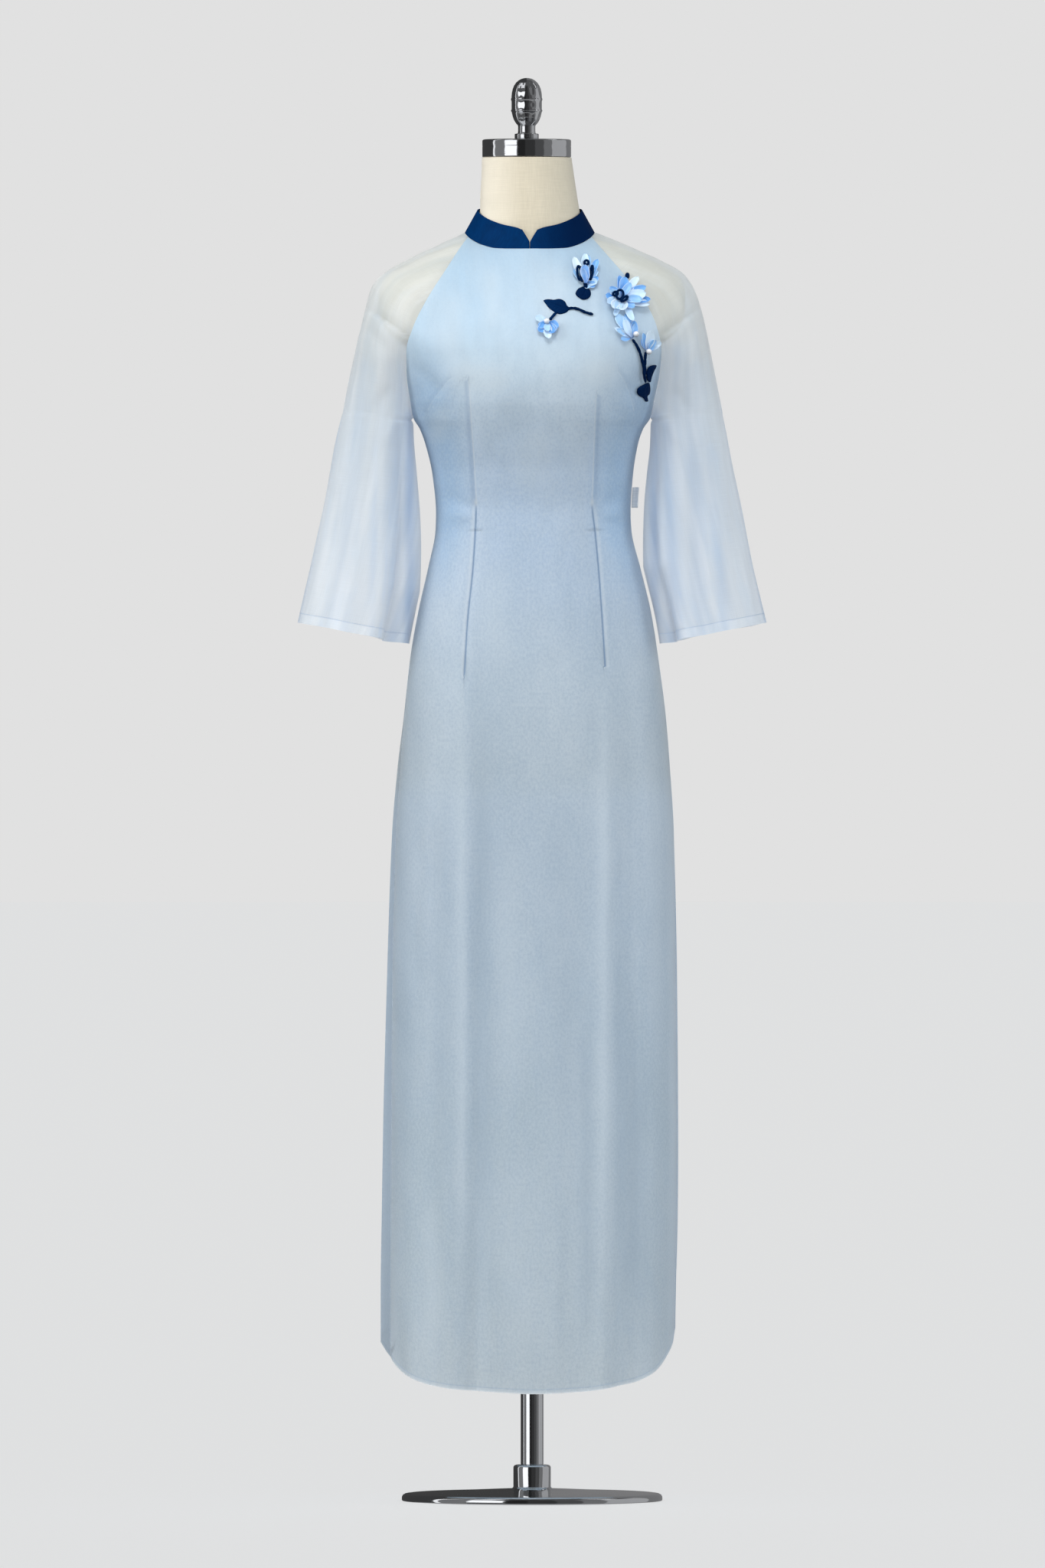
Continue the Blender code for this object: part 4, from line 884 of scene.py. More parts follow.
def make_organza(name, veil):
    """Sheer pale organza: see-through between its threads, denser at hems and seams."""
    finish = Finish(name)
    across, down, _ = finish.places("UV")
    _, _, z = finish.places()
    threads, warp, weft = thread_bump(finish, across, down, strength=0.2)
    cloud = finish.noise(finish.vector(across * 14, down * 5), 1.0, 3.0)
    low = 1 - z.ramp(1.08, 1.50)
    colour = finish.blend(low, tone(226, 239, 244), tone(238, 246, 253))
    shade = finish.mark("shade")
    # Painted shade: the shade mark turns the sheer cloth a deeper blue, partly the denser colour of doubled
    # cloth, partly shade; dark streaks deepen it where it lies.
    colour = finish.blend(shade, colour, tone(84, 142, 200))
    colour = finish.blend(cloud.ramp(0.42, 0.70) * 0.45, colour, tone(252, 253, 254))
    mist = finish.noise(finish.vector(across * 46, down * 12), 1.0, 3.0, 0.6)
    colour = finish.blend(mist.ramp(0.46, 0.74) * 0.26, colour, tone(150, 190, 226))
    streak = finish.noise(finish.vector(across * 34, down * 2.4), 1.0, 2.0)
    colour = finish.blend((1 - streak.ramp(0.30, 0.54)) * (shade + 0.06).ramp(0.0, 0.3) * 0.30, colour,
                          tone(124, 170, 216))
    colour = finish.blend(streak.ramp(0.48, 0.66) * 0.30, colour, tone(252, 253, 254))
    edge = finish.mark("edge")
    hem = (1 - edge.ramp(11.2, 12.2)) * finish.mark("hem_near")
    stitch_line = (edge - 11.8).bell(0.55) * finish.mark("hem_near")
    colour = finish.blend(stitch_line * 0.6, colour, tone(150, 172, 202))
    run = finish.mark("run")
    tuck = finish.noise(finish.vector(run * 0.11, edge * 0.02), 1.0, 2.0)
    tucks = (tuck - 0.5) * (1 - edge.ramp(2.0, 40.0))
    height = tucks * 2.6 + hem * 0.3
    ripple = finish.noise(finish.vector(across * 22, down * 5), 1.0, 2.0)
    height = height + (ripple - 0.5) * 0.8
    slub = (warp * 0.5 + weft * 0.5).ramp(0.40, 0.62)
    cover = veil + low * 0.16 + shade * 0.42 + hem * 0.14 + stitch_line * 0.2 + slub * 0.06
    cover = cover + cloud.ramp(0.35, 0.75) * 0.16 + mist.ramp(0.46, 0.74) * 0.06
    cover = cover + streak.ramp(0.46, 0.72) * 0.12
    finish.set(Base_Color=colour, Alpha=cover.math("MINIMUM", 1.0), Roughness=0.5)
    finish.set(Normal=finish.bump(height, 0.001, 0.6, threads))
    finish.set(Sheen_Weight=0.3, Sheen_Roughness=0.4, Specular_IOR_Level=0.35)
    finish.let_light_through(0.30, tone(244, 247, 252))
    return finish.material


def make_satin(name, base, light, dark, roughness=0.42):
    """Satin ribbon or satin-covered band: long bright streaks along its threads, and painted shade towards
    +X, away from the key light.
    """
    finish = Finish(name)
    across, down, _ = finish.places("UV")
    streak = finish.noise(finish.vector(across * 900, down * 60), 1.0, 2.0)
    cloud = finish.noise(finish.vector(across * 60, down * 60), 1.0, 2.0)
    colour = finish.blend(streak.ramp(0.4, 0.65) * 0.30, base, light)
    colour = finish.blend(cloud.ramp(0.45, 0.75) * 0.35, colour, dark)
    x, _, _ = finish.places()
    # Painted shade: darker towards +X, the side away from the key light.
    colour = finish.blend(x.ramp(-0.01, 0.05) * 0.9, colour, dark)
    normal = finish.bump(streak + cloud * 1.5, 0.00025, 0.5)
    finish.set(Base_Color=colour, Roughness=roughness + 0.12 * (streak - 0.5), Normal=normal)
    finish.set(Specular_IOR_Level=0.02)
    return finish.material


def make_petal_ribbon():
    """Petal ribbon whose tone runs from nearly white to sky blue, with a painted highlight at its edges and
    painted shade at its foot.
    """
    finish = Finish("petal_ribbon")
    across, down, _ = finish.places("UV")
    hue = finish.mark("hue")
    tip = finish.mark("tip")
    rim = finish.mark("rim")
    stops = [
        (0.00, tone(216, 235, 251)),
        (0.35, tone(158, 205, 247)),
        (0.65, tone(88, 160, 232)),
        (0.85, tone(78, 148, 222)),
        (1.00, tone(150, 186, 232)),
    ]
    body = finish.node("ShaderNodeValToRGB", {"stops": stops}, Fac=hue).outputs["Color"]
    streak = finish.noise(finish.vector(across * 1500, down * 120), 1.0, 2.0)
    colour = finish.blend(streak.ramp(0.4, 0.65) * 0.16, body, tone(214, 234, 252))
    # Painted highlight along the petal's rims.
    colour = finish.blend(rim.ramp(0.80, 1.0) * 0.45, colour, tone(232, 243, 253))
    # Painted shade at the petal's foot, where the petals meet.
    colour = finish.blend((1 - tip.ramp(0.0, 0.45)) * 0.60, colour, tone(44, 100, 184))
    normal = finish.bump(streak, 0.0002, 0.5)
    finish.set(Base_Color=colour, Roughness=0.34 + 0.1 * (streak - 0.5), Normal=normal)
    finish.set(Sheen_Weight=0.1, Specular_IOR_Level=0.5)
    return finish.material


def make_linen():
    """The form's cream cover: plain weave, tight and matt, with painted light on the left of the neck and
    painted shade on its right.
    """
    finish = Finish("cream_linen")
    x, y, z = finish.places()
    warp = finish.noise(finish.vector(x * 900, y * 900, z * 40), 1.0)
    weft = finish.noise(finish.vector(x * 40, y * 40, z * 1300), 1.0)
    cloud = finish.noise(finish.vector(x * 12, y * 12, z * 12), 1.0, 3.0)
    colour = finish.blend((warp * 0.5 + weft * 0.5).ramp(0.4, 0.65), tone(209, 199, 178), tone(219, 209, 188))
    colour = finish.blend(cloud.ramp(0.45, 0.75) * 0.20, colour, tone(200, 189, 167))
    neck = z.ramp(1.548, 1.570)
    # Painted light on the neck's left side, painted shade on its right.
    colour = finish.blend((1 - x.ramp(-0.056, -0.012)) * neck * 0.65, colour, tone(244, 236, 220))
    colour = finish.blend(x.ramp(0.010, 0.056) * neck * 0.6, colour, tone(192, 186, 169))
    finish.set(Base_Color=colour, Roughness=0.86, Normal=finish.bump(warp + weft, 0.0004, 0.5))
    finish.set(Sheen_Weight=0.2, Specular_IOR_Level=0.25)
    return finish.material


def make_chrome():
    finish = Finish("polished_chrome")
    x, y, z = finish.places()
    haze = finish.noise(finish.vector(x * 30, y * 30, z * 30), 1.0, 3.0)
    finish.set(Base_Color=finish.blend(haze.ramp(0.4, 0.8) * 0.2, tone(222, 224, 226), tone(200, 203, 207)))
    finish.set(Metallic=1.0, Roughness=0.05 + 0.06 * haze)
    return finish.material


def make_pearl():
    finish = Finish("pearl")
    x, y, z = finish.places()
    sheen = finish.noise(finish.vector(x * 300, y * 300, z * 300), 1.0, 2.0)
    low = finish.mark("low")
    colour = finish.blend(sheen.ramp(0.4, 0.7), tone(232, 233, 236), tone(243, 244, 246))
    # Painted shade: greyer towards the bead's lower side.
    finish.set(Base_Color=finish.blend(low.ramp(0.35, 1.0) * 0.8, colour, tone(120, 132, 152)))
    finish.set(Roughness=0.2 + 0.1 * (sheen - 0.5), Specular_IOR_Level=0.6)
    finish.set(Coat_Weight=0.6, Coat_Roughness=0.1)
    return finish.material


def make_tape():
    finish = Finish("label_tape")
    x, y, z = finish.places()
    rib = finish.noise(finish.vector(x * 60, y * 60, z * 2200), 1.0)
    finish.set(Base_Color=finish.blend(rib.ramp(0.35, 0.65), tone(222, 226, 231), tone(243, 245, 247)))
    finish.set(Roughness=0.7, Normal=finish.bump(rib, 0.0003, 0.6))
    return finish.material


def make_thread():
    finish = Finish("sewing_thread")
    x, y, z = finish.places()
    twist = finish.noise(finish.vector(x * 2500, y * 2500, z * 2500), 1.0)
    finish.set(Base_Color=finish.blend(twist, tone(170, 192, 218), tone(214, 226, 240)), Roughness=0.55)
    return finish.material


SILK = make_silk()
ORGANZA = make_organza("sheer_organza", 0.34)
NAVY = make_satin("navy_satin", tone(0, 42, 88), tone(0, 58, 108), tone(0, 24, 60), 0.55)
PETAL = make_petal_ribbon()
LINEN = make_linen()
CHROME = make_chrome()
PEARL = make_pearl()
TAPE = make_tape()
THREAD = make_thread()

# Shares of the usual length between which a stitch's own length falls, and its spindle of thread.
SHORTEST_STITCH = 0.8
LONGEST_STITCH = 1.15
SPINDLE_SIDES = 5
SPINDLE_RINGS = 4


def stitch_tree():
    """Geometry Nodes that sew along the edges of a mesh: a spindle of thread at every step."""
    tree = bpy.data.node_groups.new("stitches", "GeometryNodeTree")
    sockets = tree.interface
    sockets.new_socket("Geometry", in_out="INPUT", socket_type="NodeSocketGeometry")
    for name in ("Step", "Length", "Thickness"):
        sockets.new_socket(name, in_out="INPUT", socket_type="NodeSocketFloat")
    sockets.new_socket("Seed", in_out="INPUT", socket_type="NodeSocketInt")
    sockets.new_socket("Thread", in_out="INPUT", socket_type="NodeSocketMaterial")
    sockets.new_socket("Geometry", in_out="OUTPUT", socket_type="NodeSocketGeometry")
    given = add_node(tree, "NodeGroupInput").outputs
    line = add_node(tree, "GeometryNodeMeshToCurve", Mesh=given["Geometry"]).outputs[0]
    spots = add_node(tree, "GeometryNodeResampleCurve", {"mode": "LENGTH"}, Curve=line,
                     Length=given["Step"]).outputs[0]
    way = add_node(tree, "GeometryNodeInputTangent").outputs[0]
    turn = add_node(tree, "FunctionNodeAlignRotationToVector", {"axis": "Z"}, Vector=way).outputs[0]
    spindle = add_node(tree, "GeometryNodeMeshUVSphere", Segments=SPINDLE_SIDES, Rings=SPINDLE_RINGS,
                       Radius=1.0).outputs["Mesh"]
    uneven = add_node(tree, "FunctionNodeRandomValue", {"data_type": "FLOAT"}, Seed=given["Seed"])
    feed(tree, uneven.inputs[2], SHORTEST_STITCH)
    feed(tree, uneven.inputs[3], LONGEST_STITCH)
    reach = add_node(tree, "ShaderNodeMath", {"operation": "MULTIPLY"}, slot0=given["Length"],
                     slot1=uneven.outputs[1])
    size = add_node(tree, "ShaderNodeCombineXYZ", X=given["Thickness"], Y=given["Thickness"],
                    Z=reach.outputs[0])
    sewn = add_node(tree, "GeometryNodeInstanceOnPoints", Points=spots, Instance=spindle, Rotation=turn,
                    Scale=size.outputs[0]).outputs[0]
    whole = add_node(tree, "GeometryNodeRealizeInstances", Geometry=sewn).outputs[0]
    done = add_node(tree, "GeometryNodeSetMaterial", Geometry=whole, Material=given["Thread"]).outputs[0]
    add_node(tree, "NodeGroupOutput", Geometry=done)
    return tree


STITCH_TREE = stitch_tree()
STITCH_STEP = 3.0
STITCH_HALF_LENGTH = 1.0
STITCH_RADIUS = 0.22
STITCH_INSET = 5.2
SLEEVE_STITCH_INSET = 12.0


def inset(line, distance):
    """The point of a line of points at a distance from its start."""
    length = np.concatenate([[0], np.cumsum(np.linalg.norm(np.diff(line, axis=0), axis=1))])
    return [np.interp(distance, length, line[:, k]) for k in range(3)]


def sew(name, paths, seed):
    """A row of stitches along some lines of points, as one plain mesh."""
    verts = np.concatenate(paths) * MM
    edges, start = [], 0
    for path in paths:
        edges += [(start + k, start + k + 1) for k in range(len(path) - 1)]
        start += len(path)
    mesh = bpy.data.meshes.new(name)
    mesh.from_pydata(verts.tolist(), edges, [])
    guide = bpy.data.objects.new(name, mesh)
    bpy.context.scene.collection.objects.link(guide)
    sewing = guide.modifiers.new("Stitches", "NODES")
    sewing.node_group = STITCH_TREE
    inputs = [item for item in STITCH_TREE.interface.items_tree if item.in_out == "INPUT"]
    named = {item.name: item.identifier for item in inputs}
    sewing[named["Step"]] = STITCH_STEP * MM
    sewing[named["Length"]] = STITCH_HALF_LENGTH * MM
    sewing[named["Thickness"]] = STITCH_RADIUS * MM
    sewing[named["Seed"]] = seed
    sewing[named["Thread"]] = THREAD
    made = bpy.data.meshes.new_from_object(guide.evaluated_get(bpy.context.evaluated_depsgraph_get()))
    bpy.data.objects.remove(guide)
    made.name = name
    made.materials.clear()
    made.shade_smooth()
    add_piece(name, made, THREAD, None)


def sew_panel(name, grid, sides, seed):
    """Stitches along a panel's hem and the open edges of its slits."""
    face = grid + grid_normals(grid) * STITCH_RADIUS
    paths = [np.array([inset(face[::-1, c], STITCH_INSET) for c in range(1, face.shape[1] - 1)])]
    low = [r for r in range(len(face)) if face[r, 0, 2] < SLIT_TOP_HEIGHT][:-3]
    if "left" in sides:
        paths.append(np.array([inset(face[r], STITCH_INSET) for r in low]))
    if "right" in sides:
        paths.append(np.array([inset(face[r, ::-1], STITCH_INSET) for r in low]))
    sew(name, paths, seed)


PANEL_ROWS = 360
PANEL_COLUMNS = 104
SLEEVE_ROWS = 190
SLEEVE_COLUMNS = 110


def panel_heights(top, count):
    """Heights of rows, closer together near the hem and the neck."""
    share = np.linspace(0, 1, count)
    share = share - 0.045 * np.sin(2 * math.pi * share)
    return top + (HEM_HEIGHT - top) * share


def panel_marks(grid, darts, painted_light_and_shade, sides):
    """Distances in millimetres that the silk's pattern follows."""
    x, height = grid[:, :, 0], grid[:, :, 2]
    dart, strength = dart_distance(darts, x, height)
    across = np.linalg.norm(np.diff(grid, axis=1), axis=2)
    from_left = np.concatenate([np.zeros((len(grid), 1)), np.cumsum(across, axis=1)], axis=1)
    from_right = from_left[:, -1:] - from_left
    down = np.linalg.norm(np.diff(grid, axis=0), axis=2)
    to_hem = np.concatenate([np.cumsum(down[::-1], axis=0)[::-1], np.zeros((1, grid.shape[1]))], axis=0)
    open_side = grid[:, :1, 2] < SLIT_TOP_HEIGHT
    edge = to_hem.copy()
    if "left" in sides:
        edge = np.where(open_side, np.minimum(edge, from_left), edge)
    if "right" in sides:
        edge = np.where(open_side, np.minimum(edge, from_right), edge)
    run = np.where(edge < to_hem - 0.01, height, x)
    near = strength * (1 - np.clip((np.abs(dart) - 18) / 14, 0, 1))
    side = np.abs(x) / np.abs(x).max(axis=1)[:, None]
    # sheen is painted light and shade from its table: lighter above 0, darker below.
    sheen = crease_relief(painted_light_and_shade, x, height)
    return {"dart": dart, "dart_near": near, "edge": edge, "run": run, "side": side, "sheen": sheen}


def make_panel(name, rows, creases, darts, painted_light_and_shade, sides, node):
    grid = np.array(rows)
    x, height = grid[:, :, 0], grid[:, :, 2]
    relief = crease_relief(creases, x, height)
    relief += 0.35 * soft_noise(x, height * 0.35, 46, 3) + 0.16 * soft_noise(x, height * 0.5, 17, 8)
    dart, strength = dart_distance(darts, x, height)
    depth = np.where(height > WAIST_HEIGHT, 0.6, 1.4) * strength
    relief -= depth * np.exp(-((dart / 4.5) ** 2))
    to_edge = np.minimum(np.arange(grid.shape[1]), np.arange(grid.shape[1])[::-1])
    to_neck = np.arange(len(grid))[:, None]
    relief = relief * ease(to_edge / 4)[None, :] * ease(to_neck / 8)
    grid = grid + grid_normals(grid) * relief[:, :, None]
    marks = panel_marks(grid, darts, painted_light_and_shade, sides)
    mesh = mesh_of(name, grid, marks=marks, uv=cut_plan(grid))
    piece = add_piece(name, mesh, SILK, None)
    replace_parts(piece, node)
    width = float(np.linalg.norm(np.diff(grid, axis=1), axis=2).sum(axis=1).max()) * MM
    length = float(np.linalg.norm(np.diff(grid[:, grid.shape[1] // 2], axis=0), axis=1).sum()) * MM
    area = min(flat_area(grid), width * length)
    return grid


def make_front():
    shares = np.linspace(0, 1, PANEL_COLUMNS + 1)
    rows = [along(front_section(h), shares) for h in panel_heights(FRONT_NECK_HEIGHT, PANEL_ROWS)]
    grid = make_panel("front_panel", rows, FRONT_CREASES, FRONT_DARTS, FRONT_PAINTED_LIGHT_AND_SHADE, ("left", "right"),
                      "front")
    sew_panel("front_stitches", grid, ("left", "right"), 1)


def make_backs():
    half = PANEL_COLUMNS // 2
    for name, is_left in (("back_panel_left", True), ("back_panel_right", False)):
        rows = []
        for height in panel_heights(BACK_NECK_HEIGHT, PANEL_ROWS):
            section = back_section(height)
            middle = len(section) // 2
            part = section[: middle + 1] if is_left else section[middle:]
            rows.append(along(part, np.linspace(1, 0, half + 1)))
        side = "right" if is_left else "left"
        node = "back_left" if is_left else "back_right"
        grid = make_panel(name, rows, BACK_CREASES, BACK_DARTS, BACK_PAINTED_LIGHT_AND_SHADE, (side,), node)
        sew_panel(f"{node}_stitches", grid, (side,), 2)


# Painted shade on the sleeves, partly the denser colour where the sheer cloth lies double and partly
# shade where it turns away or faces away from the key light: bands in front view, by side of the wearer's
# picture, from one point to another, with half width and strength.
Band = namedtuple("Band", "side x height end_x end_height half_width strength")
SLEEVE_BANDS = [
    Band(-1, -150, 1340, -150, 1048, 9.0, 0.80),
    Band(-1, -164, 1330, -172, 1050, 13.0, 0.42),
    Band(-1, -168, 1275, -187, 1052, 1.3, 0.45),
    Band(-1, -192, 1300, -196, 1050, 5.0, 0.22),
    Band(-1, -232, 1345, -286, 1080, 2.0, 0.30),
    Band(-1, -206, 1400, -236, 1100, 12.0, 0.16),
    Band(1, 150, 1340, 150, 1048, 9.0, 0.75),
    Band(1, 166, 1330, 174, 1050, 14.0, 0.50),
    Band(1, 172, 1290, 184, 1052, 1.3, 0.45),
    Band(1, 196, 1400, 206, 1050, 16.0, 0.34),
    Band(1, 216, 1300, 236, 1050, 10.0, 0.26),
    Band(1, 233, 1345, 286, 1080, 2.0, 0.35),
    Band(1, 178, 1420, 176, 1330, 16.0, 0.34),
    Band(-1, -170, 1400, -160, 1330, 12.0, 0.30),
]


def sleeve_shade(grid, side):
    """How shaded each point of a sleeve is by its bands; they fade at their ends."""
    x, y, height = grid[:, :, 0], grid[:, :, 1], grid[:, :, 2]
    total = np.zeros_like(x)
    for band in SLEEVE_BANDS:
        if band.side != side:
            continue
        down = (band.height - height) / (band.height - band.end_height)
        middle = band.x + (band.end_x - band.x) * np.clip(down, 0, 1)
        fade = ease((band.height + 12 - height) / 24)
        total = np.maximum(total, band.strength * fade * np.exp(-(((x - middle) / band.half_width) ** 2)))
    return total * ease((20 - y) / 30)


def make_sleeves():
    hem = SLEEVE_SECTIONS[-1].inner_height
    heights = np.linspace(FRONT_NECK_HEIGHT, hem, SLEEVE_ROWS)
    shares = np.linspace(0, 1, SLEEVE_COLUMNS + 1)
    for side, word in ((-1, "left"), (1, "right")):
        rows = []
        for height in heights:
            rows.append(along(sleeve_section(side, height), shares))
        grid = np.array(rows)
        if side < 0:
            grid = grid[:, ::-1]
        x, height = grid[:, :, 0], grid[:, :, 2]
        on_front = ease((-grid[:, :, 1] + 10) / 30)
        relief = crease_relief(SLEEVE_CREASES, x, height, side) * (2 * on_front - 1)
        relief += 0.6 * soft_noise(x + grid[:, :, 1], height * 0.3, 38, 11)
        to_edge = np.minimum(np.arange(grid.shape[1]), np.arange(grid.shape[1])[::-1])
        is_open = (heights > UNDERARM_HEIGHT - 6)[:, None]
        relief = relief * np.where(is_open, ease(to_edge / 6)[None, :], 1.0)
        relief = relief * ease(np.arange(len(grid)) / 8)[:, None]
        grid = grid + grid_normals(grid) * relief[:, :, None]
        down = np.linalg.norm(np.diff(grid, axis=0), axis=2)
        to_hem = np.concatenate([np.cumsum(down[::-1], axis=0)[::-1], np.zeros((1, grid.shape[1]))], axis=0)
        across = np.linalg.norm(np.diff(grid, axis=1), axis=2)
        from_left = np.concatenate([np.zeros((len(grid), 1)), np.cumsum(across, axis=1)], axis=1)
        to_seam = np.minimum(from_left, from_left[:, -1:] - from_left)
        hem_near = (to_hem < 60).astype(float)
        edge = np.where(to_hem < 60, to_hem, to_seam)
        shade = sleeve_shade(grid, side)
        marks = {"edge": edge, "hem_near": hem_near, "run": from_left, "shade": shade}
        name = f"sleeve_{word}_organza"
        mesh = mesh_of(name, grid, marks=marks, uv=cut_plan(grid))
        piece = add_piece(name, mesh, ORGANZA, None)
        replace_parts(piece, f"sleeve_{word}")
        width = float(across.sum(axis=1).max()) * MM
        length = float(down.sum(axis=0).max()) * MM
        area = min(flat_area(grid), width * length)
        face = grid + grid_normals(grid) * STITCH_RADIUS
        path = np.array([inset(face[::-1, c], SLEEVE_STITCH_INSET) for c in range(face.shape[1])])
        sew(f"sleeve_{word}_stitches", [path], 3)


def make_collar():
    for side, word in ((-1, "left"), (1, "right")):
        shares = np.concatenate([np.linspace(0, 0.2, 24)[:-1], np.linspace(0.2, 1, 60)])
        rows = []
        for row in (1, 0.97, 0.9, 0.8, 0.68, 0.56, 0.46, NOTCH_FOOT, 0.2, 0.1, 0.03, 0):
            line = np.array([collar_section(side, share, row) for share in np.linspace(0, 1, 121)])
            rows.append(along(line, shares, SEAM_GAP)[::side])
        grid = np.array(rows)
        name = f"collar_{word}_band"
        piece = add_piece(name, mesh_of(name, grid, uv=cut_plan(grid)), NAVY, COLLAR_WALL)
        bevel = piece.modifiers.new("Edges", "BEVEL")
        bevel.width = 0.0005
        bevel.segments = 2
        bevel.limit_method = "ANGLE"
        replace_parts(piece, f"collar_{word}")


CHEST_STEP = 3.0
CHEST_X = np.arange(-171, 172, CHEST_STEP)
CHEST_Z = np.arange(1335, 1545, CHEST_STEP)


def chest_depths():
    """How deep the front lies at each place of the chest in front view."""
    sections = [front_section(h) for h in np.arange(1320, 1552, CHEST_STEP)]
    place = np.array([np.interp(CHEST_X, s[:, 0], s[:, 2]) for s in sections])
    deep = np.array([np.interp(CHEST_X, s[:, 0], s[:, 1]) for s in sections])
    return np.stack([np.interp(CHEST_Z, place[:, k], deep[:, k]) for k in range(len(CHEST_X))], axis=1)


CHEST = chest_depths()
CHEST_SLOPE_Z, CHEST_SLOPE_X = np.gradient(CHEST, CHEST_STEP)
CHEST_STEEPEST = 1.9
APPLIQUE_DROP = 1.6


def on_chest(x, z, out):
    """Points by place in front view, straight before the front so that it is `out` away."""
    x, z, out = np.broadcast_arrays(*(np.asarray(a, float) for a in (x, z, out)))
    column = np.clip((x - CHEST_X[0]) / CHEST_STEP, 0, len(CHEST_X) - 1.001)
    row = np.clip((z - CHEST_Z[0]) / CHEST_STEP, 0, len(CHEST_Z) - 1.001)
    c, r = column.astype(int), row.astype(int)
    a, b = column - c, row - r

    def at(field):
        return (field[r, c] * (1 - a) + field[r, c + 1] * a) * (1 - b) + (
            field[r + 1, c] * (1 - a) + field[r + 1, c + 1] * a
        ) * b

    steep = np.minimum(np.sqrt(1 + at(CHEST_SLOPE_X) ** 2 + at(CHEST_SLOPE_Z) ** 2), CHEST_STEEPEST)
    return np.stack([x, at(CHEST) - out * steep, z - APPLIQUE_DROP], axis=-1)


